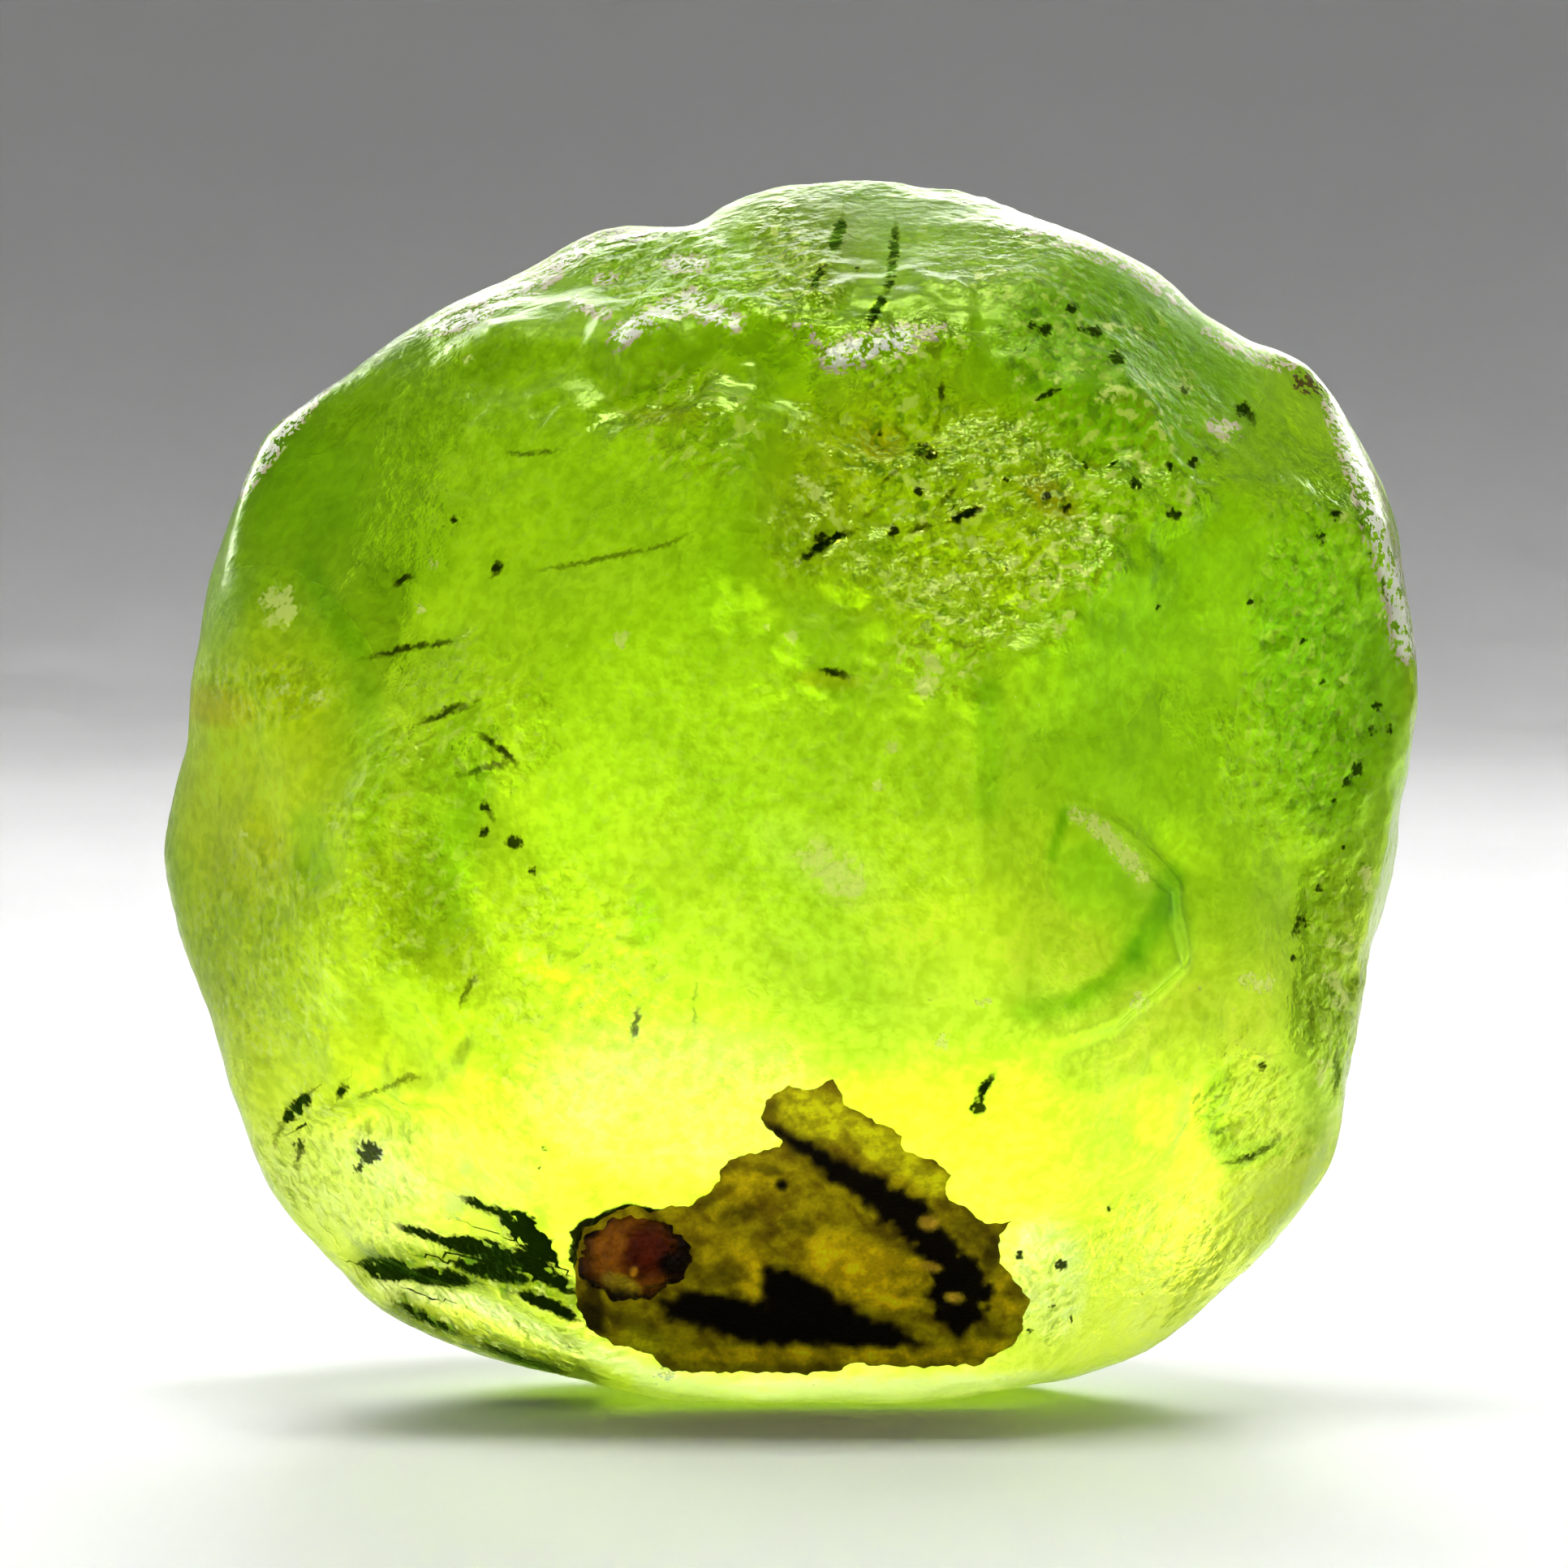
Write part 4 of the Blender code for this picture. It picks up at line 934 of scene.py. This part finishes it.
def set_cracks(mesh, px, py, front):
    """Keep each corner's signed distance from its nearest crack and that crack's half width."""
    lines = tuple(CRACKS.values())
    for group in range(CRACK_GROUPS):
        offset, width = np.full(len(px), np.inf), np.zeros(len(px))
        for line, half_width, strength in lines[group::CRACK_GROUPS]:
            distance, place = along_line(px, py, line)
            closer = np.abs(distance) < np.abs(offset)
            near = closer & (front > ON_FRONT) & (np.abs(distance) < CRACK_REACH + half_width)
            taper = np.sqrt(np.clip(4 * place * (1 - place) + CRACK_TIP, 0, 1)) * strength
            offset = np.where(closer, distance, offset)
            width = np.where(near, half_width * taper / PIXELS_IN_MM, np.where(closer, 0, width))
        offset = np.clip(offset / PIXELS_IN_MM, -CRACK_FAR, CRACK_FAR)
        set_values(mesh, f"crack_{group}", offset)
        set_values(mesh, f"crack_width_{group}", width)


def make_crystal():
    points, faces, front, rough = crystal_form()
    px, py = in_view(points)
    mesh = bpy.data.meshes.new("peridot_crystal_dressed")
    mesh.from_pydata((points * MM).tolist(), [], faces)
    mesh.shade_smooth()
    etched, glinted_and_flecked, pored = etched_zones(px, py)[1:]
    behind = smooth((points[:, 1] + BACK_START) / BACK_FADE)
    aside = (1 - front) * np.clip(rough / FULL_ROUGH, LEAST_ASIDE, 1)
    torn = mottle(points[:, 1], points[:, 2], *SIDE_MOTTLE)
    around = smooth((SIDE_END - points[:, 1] + torn) / SIDE_FADE)
    matte = front * etched * ETCHED_MATTE
    for *zone, share in MATTE_ZONES.values():
        matte = np.maximum(matte, front * share * spot(px, py, *zone))
    set_values(mesh, "frost", np.maximum(np.maximum(matte, aside * SIDE_MATTE), behind))
    set_values(mesh, "etched", np.maximum(np.maximum(front * etched, aside), BACK_ETCHED * behind))
    dimples = mottle(points[:, 0], points[:, 2], *DIMPLE_MOTTLE)
    dimpled = (1 - front) * smooth(DIMPLE_LEVEL + DIMPLE_RANGE * dimples)
    set_values(mesh, "glinted_and_flecked", np.maximum(front * glinted_and_flecked, np.maximum(aside, dimpled) * SIDE_GLINTED_AND_FLECKED))
    set_values(mesh, "pored", np.maximum(front * pored, np.maximum(aside, dimpled) * SIDE_PORED))
    set_colours(mesh, "tone_and_painted_light", crystal_tone_and_painted_light(px, py, points[:, 2], front))
    for name, strokes in (("painted_highlight", PAINTED_HIGHLIGHTS), ("rusty", RUSTY)):
        share = np.zeros(len(px))
        for line, half_width, strength in strokes.values():
            share = np.maximum(share, strength * stroke(px, py, line, half_width))
        set_values(mesh, name, share * around)
    for name, spots in (("dark_spot", DARK_SPOTS), ("painted_bright_spot", PAINTED_BRIGHT_SPOTS)):
        set_values(mesh, name, np.where(front > ON_FRONT, spot_depth(px, py, spots), -1))
    set_cracks(mesh, px, py, front)
    return new_object("peridot_crystal_dressed", mesh), points, faces


def outline_distance(px, py, outline):
    """The distance from a closed outline, below 0 inside it."""
    ring = tuple(outline) + (outline[0],)
    distance = np.abs(along_line(px, py, ring)[0])
    inside = np.zeros(len(px), dtype=bool)
    for (x0, y0), (x1, y1) in zip(ring[:-1], ring[1:]):
        if y0 != y1:
            crosses = (py < y0) != (py < y1)
            inside ^= crosses & (px < x0 + (py - y0) * (x1 - x0) / (y1 - y0))
    return np.where(inside, -distance, distance)


class Nodes:
    """A short way to write a node tree."""

    def __init__(self, name):
        self.material = bpy.data.materials.new(name)
        self.material.use_nodes = True
        self.tree = self.material.node_tree
        self.tree.nodes.clear()
        self.place = self.add("ShaderNodeTexCoord").outputs["Object"]

    def add(self, kind, inputs=(), **settings):
        node = self.tree.nodes.new(kind)
        for key, value in settings.items():
            setattr(node, key, value)
        for key, value in dict(inputs).items():
            if isinstance(value, bpy.types.NodeSocket):
                self.tree.links.new(value, node.inputs[key])
            else:
                node.inputs[key].default_value = value
        return node

    def math(self, operation, a, b=0.0, c=0.0):
        return self.add("ShaderNodeMath", {0: a, 1: b, 2: c}, operation=operation).outputs[0]

    def product(self, first, *others):
        for other in others:
            first = self.math("MULTIPLY", first, other)
        return first

    def scaled(self, value, low, high):
        """From low where the value is 0 to high where it is 1."""
        return self.math("MULTIPLY_ADD", value, high - low, low)

    def step(self, value, low, high):
        """0 at low and 1 at high, smooth between them."""
        settings = {0: value, 1: low, 2: high}
        return self.add("ShaderNodeMapRange", settings, interpolation_type="SMOOTHSTEP").outputs[0]

    def mix(self, share, first, last):
        settings = {0: share, 6: self.full(first), 7: self.full(last)}
        return self.add("ShaderNodeMix", settings, data_type="RGBA").outputs[2]

    def times(self, first, last):
        settings = {0: 1.0, 6: self.full(first), 7: self.full(last)}
        node = self.add("ShaderNodeMix", settings, data_type="RGBA", blend_type="MULTIPLY")
        return node.outputs[2]

    def full(self, colour):
        return (*colour, 1.0) if isinstance(colour, tuple) else colour

    def value(self, name):
        return self.add("ShaderNodeAttribute", attribute_name=name).outputs["Fac"]

    def colour(self, name):
        return self.add("ShaderNodeAttribute", attribute_name=name).outputs["Color"]

    def noise(self, size, detail=2.0, lift=0.0, place=None):
        """Noise whose patches are about that many millimetres across."""
        place = place or self.place
        if lift:
            place = self.add("ShaderNodeVectorMath", {0: place, 1: (lift, lift, lift)}).outputs[0]
        inputs = {"Vector": place, "Scale": 1 / (size * MM), "Detail": detail}
        return self.add("ShaderNodeTexNoise", inputs).outputs["Fac"]

    def drawn_out(self, lean, length):
        """The place, drawn out that many times along a line leaning that far up to the right."""
        inputs = {"Vector": self.place, "Rotation": (0, -math.radians(lean), 0), "Scale": (length, 1, 1)}
        return self.add("ShaderNodeMapping", inputs, vector_type="TEXTURE").outputs[0]

    def broken(self, name, uneven):
        """A painted share, broken up by that unevenness and 0 where nothing is painted."""
        painted = self.value(name)
        share = self.step(self.math("MULTIPLY_ADD", uneven, BREAK_UP, painted), *BROKEN_STEP)
        return self.product(share, self.step(painted, *PAINTED_STEP))

    def finish(self, shader, volume=None):
        out = self.add("ShaderNodeOutputMaterial")
        self.tree.links.new(shader.outputs[0], out.inputs["Surface"])
        if volume:
            self.tree.links.new(volume.outputs[0], out.inputs["Volume"])
        return self.material


def crystal_marks(n, uneven, lumpy):
    """1 in the dark spots and cracks, 0 outside them."""
    spots = n.math("MULTIPLY_ADD", uneven, DARK_RAGGEDNESS, n.value("dark_spot"))
    marks = n.product(n.step(spots, *DARK_STEP), DARK_SHARE)
    wobble = n.math("MULTIPLY", uneven, CRACK_WOBBLE)
    broken = n.step(lumpy, *CRACK_BREAKS)
    for group in range(CRACK_GROUPS):
        offset = n.math("ABSOLUTE", n.math("ADD", n.value(f"crack_{group}"), wobble))
        width = n.product(n.value(f"crack_width_{group}"), n.scaled(broken, *CRACK_WIDTHS))
        line = n.step(n.math("SUBTRACT", width, offset), *CRACK_EDGE)
        thin = n.scaled(n.step(width, *THIN_CRACK), *THIN_SHARES)
        line = n.product(line, thin, n.step(width, *LEAST_CRACK))
        marks = n.math("MAXIMUM", marks, line)
    return marks


def crystal_material():
    n = Nodes("peridot")
    glinted_and_flecked = n.value("glinted_and_flecked")
    soft, lumpy, grainy = n.noise(*CLOUD_NOISE), n.noise(*LUMP_NOISE), n.noise(*GRIT_NOISE)
    fleck = n.noise(*FLECK_NOISE, n.drawn_out(STREAK_LEAN, STREAK_LENGTH))
    fine, coarse = (n.scaled(noisy, -UNEVENNESS, UNEVENNESS) for noisy in (grainy, lumpy))
    uneven = n.math("ADD", fine, coarse)
    colour = n.times(CLEAR, n.colour("tone_and_painted_light"))
    colour = n.times(colour, n.mix(n.step(soft, *SOFT_STEP), *CLOUDS))
    # Painted shade in the bump's hollows and painted light on its tops, from the same noise as the bump
    colour = n.times(colour, n.mix(n.step(lumpy, *SOFT_STEP), *BUMP_SHADE_AND_LIGHT))
    # Painted glints on the etching, then its brown flecks
    painted_glint = n.product(n.step(fleck, *GLINT_STEP), glinted_and_flecked, GLINT_SHARE)
    colour = n.mix(painted_glint, colour, GLINT_PAINT)
    brown_fleck = n.product(n.step(fleck, *BROWN_STEP), glinted_and_flecked, BROWN_SHARE)
    colour = n.mix(brown_fleck, colour, BROWN_FLECK)
    # Painted shade in the pores, where the bump is lowest
    pore_shade = n.product(n.step(lumpy, *PORE_STEP), n.value("pored"), PORE_SHARE)
    colour = n.mix(pore_shade, colour, PORE_SHADE_PAINT)
    # Painted bright spots, partly opaque
    pale = n.step(n.math("ADD", n.value("painted_bright_spot"), uneven), *BRIGHT_SPOT_STEP)
    colour = n.mix(n.product(pale, BRIGHT_SPOT_SHARE), colour, BRIGHT_SPOT_PAINT)
    marks = crystal_marks(n, uneven, lumpy)
    rusty, painted_highlight = n.broken("rusty", uneven), n.broken("painted_highlight", uneven)
    colour = n.mix(rusty, colour, RUST)
    colour = n.mix(marks, colour, DARK_MARK)
    # Painted highlights, white where strongest, and pink painted reflections, mostly opaque
    highlight_colour = n.mix(n.step(n.value("painted_highlight"), *WHITE_HIGHLIGHT_STEP), PINK_REFLECTION_PAINT, WHITE_HIGHLIGHT_PAINT)
    colour = n.mix(painted_highlight, colour, highlight_colour)
    etched = n.value("etched")
    rough = n.scaled(n.value("frost"), CLEAR_ROUGH, FROST_ROUGH)
    rough = n.math("ADD", rough, n.scaled(soft, 0.0, CLOUD_ROUGH))
    height = n.product(lumpy, n.scaled(etched, CALM_BUMP, 1.0))
    bump = {"Height": height, "Distance": BUMP_HEIGHT * MM, "Strength": BUMP_STRENGTH}
    bump = n.add("ShaderNodeBump", bump)
    opaque = n.math("MAXIMUM", n.product(painted_highlight, HIGHLIGHT_OPAQUE), n.product(rusty, RUST_OPAQUE))
    pale = n.math("MAXIMUM", n.product(pale, GLINT_AND_SPOT_OPAQUE), n.product(painted_glint, GLINT_AND_SPOT_OPAQUE))
    opaque = n.math("MAXIMUM", opaque, pale)
    shader = n.add("ShaderNodeBsdfPrincipled", {
        "Base Color": colour,
        "Roughness": rough,
        "IOR": PERIDOT_IOR,
        "Specular Tint": (*GREEN_SHINE, 1.0),
        "Transmission Weight": n.scaled(opaque, 1.0, 0.0),
        "Metallic": n.product(marks, DARK_METAL),
        "Normal": bump.outputs["Normal"],
    })
    depth = {"Color": (*GREEN_DEPTH, 1.0), "Density": GREEN_DENSITY}
    return n.finish(shader, n.add("ShaderNodeVolumeAbsorption", depth))


def painted_material(name, least_rough, most_rough):
    """A mineral whose colour was worked out for each corner, with fine unevenness over it and painted shade
    and light that follow its fine bump.
    """
    n = Nodes(name)
    lumpy, grainy = n.noise(*MINERAL_NOISE), n.noise(*MINERAL_GRIT)
    shade = n.mix(n.step(lumpy, *MINERAL_STEP), *MINERAL_SHADES)
    colour = n.times(n.colour("paint"), shade)
    # Painted shade in the grit's hollows and painted light on its tops, from the same noise as the bump
    colour = n.times(colour, n.mix(grainy, *GRIT_SHADE_AND_LIGHT))
    bump = {"Height": grainy, "Distance": GRIT_HEIGHT * MM, "Strength": GRIT_STRENGTH}
    bump = n.add("ShaderNodeBump", bump)
    return n.finish(n.add("ShaderNodeBsdfPrincipled", {
        "Base Color": colour,
        "Roughness": n.scaled(lumpy, least_rough, most_rough),
        "IOR": PAINTED_IOR,
        "Normal": bump.outputs["Normal"],
    }))


def pale_floor_material():
    n = Nodes("pale_floor")
    shade = n.mix(n.noise(*FLOOR_NOISE), *FLOOR_SHADES)
    rough = n.scaled(n.noise(*FLOOR_SCUFFS), *FLOOR_ROUGH)
    return n.finish(n.add("ShaderNodeBsdfPrincipled", {"Base Color": shade, "Roughness": rough}))


def ragged_edge():
    """The inclusion's outline in even short steps, with a fine raggedness."""
    ring = np.array(PATCH_EDGE + (PATCH_EDGE[0],), dtype=float)
    edge = []
    for first, last in zip(ring[:-1], ring[1:]):
        steps = max(1, round(np.hypot(*(last - first)) / PATCH_SPACING))
        edge += [first + (last - first) * k / steps for k in range(steps)]
    # Unless its seed is set, this noise is drawn anew in each run
    noise.seed_set(EDGE_DRAW)
    places = [Vector((x / EDGE_LUMPS, y / EDGE_LUMPS, EDGE_SEED)) for x, y in edge]
    ragged = [noise.noise_vector(place)[:2] for place in places]
    return np.array(edge) + EDGE_RAGGEDNESS * np.array(ragged)


def patch_sheet():
    """The inclusion's face as points of the view and triangles, and how far in each point is."""
    edge = ragged_edge()
    ring = [tuple(e) for e in edge]
    low, high = edge.min(axis=0), edge.max(axis=0)
    across = np.arange(low[0], high[0], PATCH_SPACING)
    rows = np.arange(low[1], high[1], PATCH_SPACING * math.sqrt(3) / 2)
    inner = np.array([
        (x + PATCH_SPACING / 2 * (row % 2), y) for row, y in enumerate(rows) for x in across
    ])
    inner = inner[outline_distance(*inner.T, ring) < -INNER_MARGIN * PATCH_SPACING]
    flat = [Vector(p) for p in np.concatenate((edge, inner))]
    done = delaunay_2d_cdt(flat, [], [list(range(len(edge)))], 1, SAME_POINT)
    flat = np.array([tuple(v) for v in done[0]])
    return flat, [tuple(f) for f in done[2]], np.maximum(-outline_distance(*flat.T, ring), 0)


def open_edges(triangles):
    """The edges that only one triangle has, each in that triangle's direction."""
    edges = {}
    for a, b, c in triangles:
        for one, two in ((a, b), (b, c), (c, a)):
            if (two, one) in edges:
                del edges[(two, one)]
            else:
                edges[(one, two)] = True
    return edges


def make_patch(tree):
    """The ragged mineral in the foot of the front: a fine sheet over a thin closed body."""
    flat, triangles, inward = patch_sheet()
    px, py = flat.T
    uneven = LIFT_LUMPS * mottle(px, py, *LIFT_MOTTLE) * smooth(inward / LUMPS_INWARD)
    lift = PATCH_PROUD * (RIM_LIFT + INNER_LIFT * smooth(inward / RIM_INWARD) + uneven)
    thick = PATCH_THIN + (PATCH_THICK - PATCH_THIN) * smooth(inward / THICK_INWARD)
    front, back = [], []
    for x, y, proud, body in zip(px, py, lift, thick):
        way = sight(x, y)
        hit = tree.ray_cast(Vector(EYE), way)[0]
        front.append(hit - way * proud)
        back.append(hit + way * body)
    total = len(flat)
    faces = triangles + [tuple(total + i for i in f[::-1]) for f in triangles]
    faces += [(two, one, one + total, two + total) for one, two in open_edges(triangles)]
    bm = bmesh.new()
    corners = [bm.verts.new(p * MM) for p in front + back]
    for face in faces:
        bm.faces.new([corners[i] for i in face])
    bmesh.ops.recalc_face_normals(bm, faces=bm.faces[:])
    mesh = bpy.data.meshes.new("iron_stained_inclusion_dressed")
    bm.to_mesh(mesh)
    bm.free()
    mesh.shade_smooth()
    mesh.set_sharp_from_angle(angle=math.radians(SHARP_ANGLE))
    set_colours(mesh, "paint", np.tile(patch_paint(px, py, inward), (2, 1)))
    return new_object("iron_stained_inclusion_dressed", mesh)


def seam_share(px, py):
    distance, place = along_line(px, py, SEAM)
    ends = np.array(SEAM, dtype=float)
    lengths = np.hypot(*(ends[1:, :2] - ends[:-1, :2]).T)
    shares = np.concatenate(((0,), np.cumsum(lengths))) / lengths.sum()
    uneven = SEAM_WIDTH + SEAM_UNEVENNESS * mottle(px, py, *SEAM_MOTTLE)
    width = np.interp(place, shares, ends[:, 2]) * uneven
    return smooth((width - np.abs(distance)) / SEAM_SOFTNESS + 0.5)


def woven(uneven, fibre, level, uneven_share, fibre_share):
    """A share from 0 to 1 that follows both kinds of unevenness."""
    return smooth(level + uneven_share * uneven + fibre_share * fibre)


def patch_paint(px, py, inward):
    """The colours over that mineral: olive yellow, with gold and lime brightened as a painted glow, darker by
    its edge, and black seams and painted shadows, a wedge among them.
    """
    uneven = mottle(px, py, *PAINT_MOTTLE)
    fibre = mottle(px + py, py - px, *FIBRE_MOTTLE)
    share = woven(uneven, fibre, *OLIVE_WEAVE)
    colour = blend(np.tile(BROWN_PAINT, (len(px), 1)), OLIVE_PAINT, np.clip(share * 2, 0, 1))
    # Gold and lime of the stain, brightened as a painted glow
    for *zone, paint, strength in PATCH_GLOWS.values():
        glow = strength * spot(px, py, *zone) * woven(uneven, fibre, *GLOW_WEAVE)
        colour = blend(colour, paint, glow)
    colour *= (RIM_SHADE + INNER_SHADE * smooth(inward / RIM_INWARD))[:, None]
    # The wedge's painted shadow, joined with the black seams
    torn = WEDGE_LEVEL + WEDGE_RAGGEDNESS * mottle(px, py, *WEDGE_MOTTLE)
    wedge = smooth(torn - outline_distance(px, py, WEDGE) / SEAM_SOFTNESS)
    shadow = np.maximum(seam_share(px, py), wedge)
    for *zone, strength in PATCH_SHADOWS.values():
        shadow = np.maximum(shadow, strength * spot(px, py, *zone))
    for zone in PATCH_CRUMBS.values():
        crumb = spot(px, py, *zone, CRUMB_TURN)
        shadow *= 1 - crumb
        colour = blend(colour, CRUMB_PAINT, crumb)
    return blend(colour, BLACK_PAINT, shadow)


def grain_paint(px, py):
    uneven = mottle(px, py, *GRAIN_MOTTLE)
    colour = np.array(GRAIN_PAINT) * (1 + GRAIN_UNEVENNESS * uneven[:, None])
    for *zone, paint in GRAIN_MARKS.values():
        colour = blend(colour, paint, spot(px, py, *zone))
    rim = ellipse(px, py, *GRAIN_MIDDLE) * GRAIN_RIM_SLOPE - GRAIN_RIM_START
    rim = smooth(rim + GRAIN_RIM_RAGGEDNESS * uneven)
    return np.clip(blend(colour, RIM_PAINT, rim), 0, 1)


def make_grain():
    lean = Matrix.Rotation(math.radians(GRAIN_LEAN), 3, "X")
    bm = bmesh.new()
    bmesh.ops.create_icosphere(bm, subdivisions=GRAIN_STEPS, radius=1.0)
    points = []
    for vertex in bm.verts:
        way = vertex.co.normalized()
        uneven = noise.fractal(way * GRAIN_LUMPS, NOISE_FADE, NOISE_STEP, GRAIN_OCTAVES)
        fine = noise.fractal(way * FINE_GRAIN_LUMPS, NOISE_FADE, NOISE_STEP, GRAIN_OCTAVES)
        size = 1 + GRAIN_ROUGHNESS * uneven + FINE_GRAIN_ROUGHNESS * fine
        place = Vector(GRAIN_PLACE) + lean @ (way * size * Vector(GRAIN_HALF))
        vertex.co = place * MM
        points.append(tuple(place))
    mesh = bpy.data.meshes.new("red_brown_grain_dressed")
    bm.to_mesh(mesh)
    bm.free()
    mesh.shade_smooth()
    set_colours(mesh, "paint", grain_paint(*in_view(np.array(points))))
    return new_object("red_brown_grain_dressed", mesh)


def keep_piece(piece, node, material):
    piece.data.materials.append(material)
    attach(piece, "root")
    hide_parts(node)


crystal, crystal_points, crystal_faces = make_crystal()
crystal_tree = BVHTree.FromPolygons([Vector(p) for p in crystal_points], crystal_faces)
keep_piece(crystal, "peridot_crystal", crystal_material())
keep_piece(
    make_patch(crystal_tree), "iron_stained_inclusion",
    painted_material("iron_stained_matrix", 0.3, 0.55),
)
keep_piece(
    make_grain(), "red_brown_grain",
    painted_material("red_brown_mineral", 0.15, 0.45),
)


# Floor, light and camera
FLOOR_FLAT, FLOOR_CURVE, FLOOR_RISE = 0.25, 0.25, 46.0
FLOOR_RINGS, CURVE_RINGS, FLOOR_TURNS, FLOOR_CROWDING = 6, 20, 96, 0.7
FLOOR_NOISE, FLOOR_SCUFFS = (40.0, 4), (6.0, 2)
FLOOR_SHADES, FLOOR_ROUGH = ((0.74, 0.74, 0.73), (0.80, 0.80, 0.79)), (0.5, 0.7)
NEAR_CLIP, FAR_CLIP = 0.001, 5.0
MIDDLE = (0, 0, 0.0075)
LAMP_PLACE, LAMP_SIZE, LAMP_RADIANCE = (0.0, 0.012, 0.20), (0.11, 0.045), 14.0
SKY = 0.20
SOFTBOXES = {
    # azimuth, elevation, full to this many degrees from its middle, none past this many, radiance
    "behind": (180, 25, 4, 18, 5.2),
    "behind, left": (-143, 24, 4, 18, 5.2),
    "behind, right": (157, 22, 4, 17, 5.6),
}


def seamless_floor():
    """A pale round floor whose edge curves up into a low backdrop."""
    profile = [(FLOOR_FLAT * (k / FLOOR_RINGS) ** 2 * FLOOR_CROWDING, 0.0) for k in range(1, FLOOR_RINGS + 1)]
    for k in range(CURVE_RINGS + 1):
        a = math.radians(FLOOR_RISE) * k / CURVE_RINGS
        profile.append((FLOOR_FLAT + FLOOR_CURVE * math.sin(a), FLOOR_CURVE * (1 - math.cos(a))))
    bm = bmesh.new()
    middle = bm.verts.new((0, 0, 0))
    turns = [math.tau * t / FLOOR_TURNS for t in range(FLOOR_TURNS)]
    rings = [[bm.verts.new((r * math.cos(t), r * math.sin(t), z)) for t in turns] for r, z in profile]
    for t in range(FLOOR_TURNS):
        after = (t + 1) % FLOOR_TURNS
        bm.faces.new((middle, rings[0][t], rings[0][after]))
        for inner, outer in zip(rings[:-1], rings[1:]):
            bm.faces.new((inner[t], outer[t], outer[after], inner[after]))
    mesh = bpy.data.meshes.new("floor")
    bm.to_mesh(mesh)
    bm.free()
    mesh.shade_smooth()
    return new_object("floor", mesh)


def overhead_softbox():
    """A soft lamp that the camera doesn't see."""
    lamp = bpy.data.lights.new("overhead_softbox", "AREA")
    lamp.shape = "RECTANGLE"
    lamp.size, lamp.size_y = LAMP_SIZE
    lamp.energy = LAMP_RADIANCE * math.pi * lamp.size * lamp.size_y
    thing = new_object("overhead_softbox", lamp)
    thing.location = LAMP_PLACE
    aim = Vector(MIDDLE) - Vector(LAMP_PLACE)
    thing.rotation_euler = aim.to_track_quat("-Z", "Y").to_euler()
    thing.visible_camera = False


def studio():
    """A dim even surround with broad soft lights in it."""
    world = bpy.data.worlds.new("studio")
    bpy.context.scene.world = world
    world.use_nodes = True
    world.cycles.sampling_method = "NONE"
    nodes, links = world.node_tree.nodes, world.node_tree.links
    way = nodes.new("ShaderNodeTexCoord").outputs["Generated"]
    total = nodes.new("ShaderNodeValue").outputs[0]
    total.default_value = SKY
    for azimuth, elevation, full, none, radiance in SOFTBOXES.values():
        dot = nodes.new("ShaderNodeVectorMath")
        dot.operation = "DOT_PRODUCT"
        links.new(way, dot.inputs[0])
        dot.inputs[1].default_value = direction(azimuth, elevation)
        ramp = nodes.new("ShaderNodeMapRange")
        ramp.interpolation_type = "SMOOTHSTEP"
        links.new(dot.outputs["Value"], ramp.inputs[0])
        ramp.inputs[1].default_value = math.cos(math.radians(none))
        ramp.inputs[2].default_value = math.cos(math.radians(full))
        ramp.inputs[4].default_value = radiance
        add = nodes.new("ShaderNodeMath")
        links.new(ramp.outputs[0], add.inputs[0])
        links.new(total, add.inputs[1])
        total = add.outputs[0]
    back = nodes["Background"]
    back.inputs[0].default_value = (1.0, 1.0, 1.0, 1.0)
    links.new(total, back.inputs[1])


def front_camera():
    camera = new_object("camera", bpy.data.cameras.new("camera"))
    camera.data.lens, camera.data.sensor_width = LENS, SENSOR
    camera.data.clip_start, camera.data.clip_end = NEAR_CLIP, FAR_CLIP
    camera.location = EYE * MM
    camera.rotation_euler = Vector(-AWAY).to_track_quat("-Z", "Y").to_euler()
    bpy.context.scene.camera = camera


def light_settings():
    scene = bpy.context.scene
    scene.view_settings.view_transform = "Standard"
    scene.view_settings.look = "Medium High Contrast"
    scene.cycles.max_bounces = 6
    scene.cycles.transmission_bounces = 6
    scene.cycles.glossy_bounces = 3
    scene.cycles.diffuse_bounces = 2
    scene.cycles.adaptive_threshold = 0.12
    scene.cycles.adaptive_min_samples = 12


floor = seamless_floor()
floor.data.materials.append(pale_floor_material())
overhead_softbox()
studio()
front_camera()
light_settings()
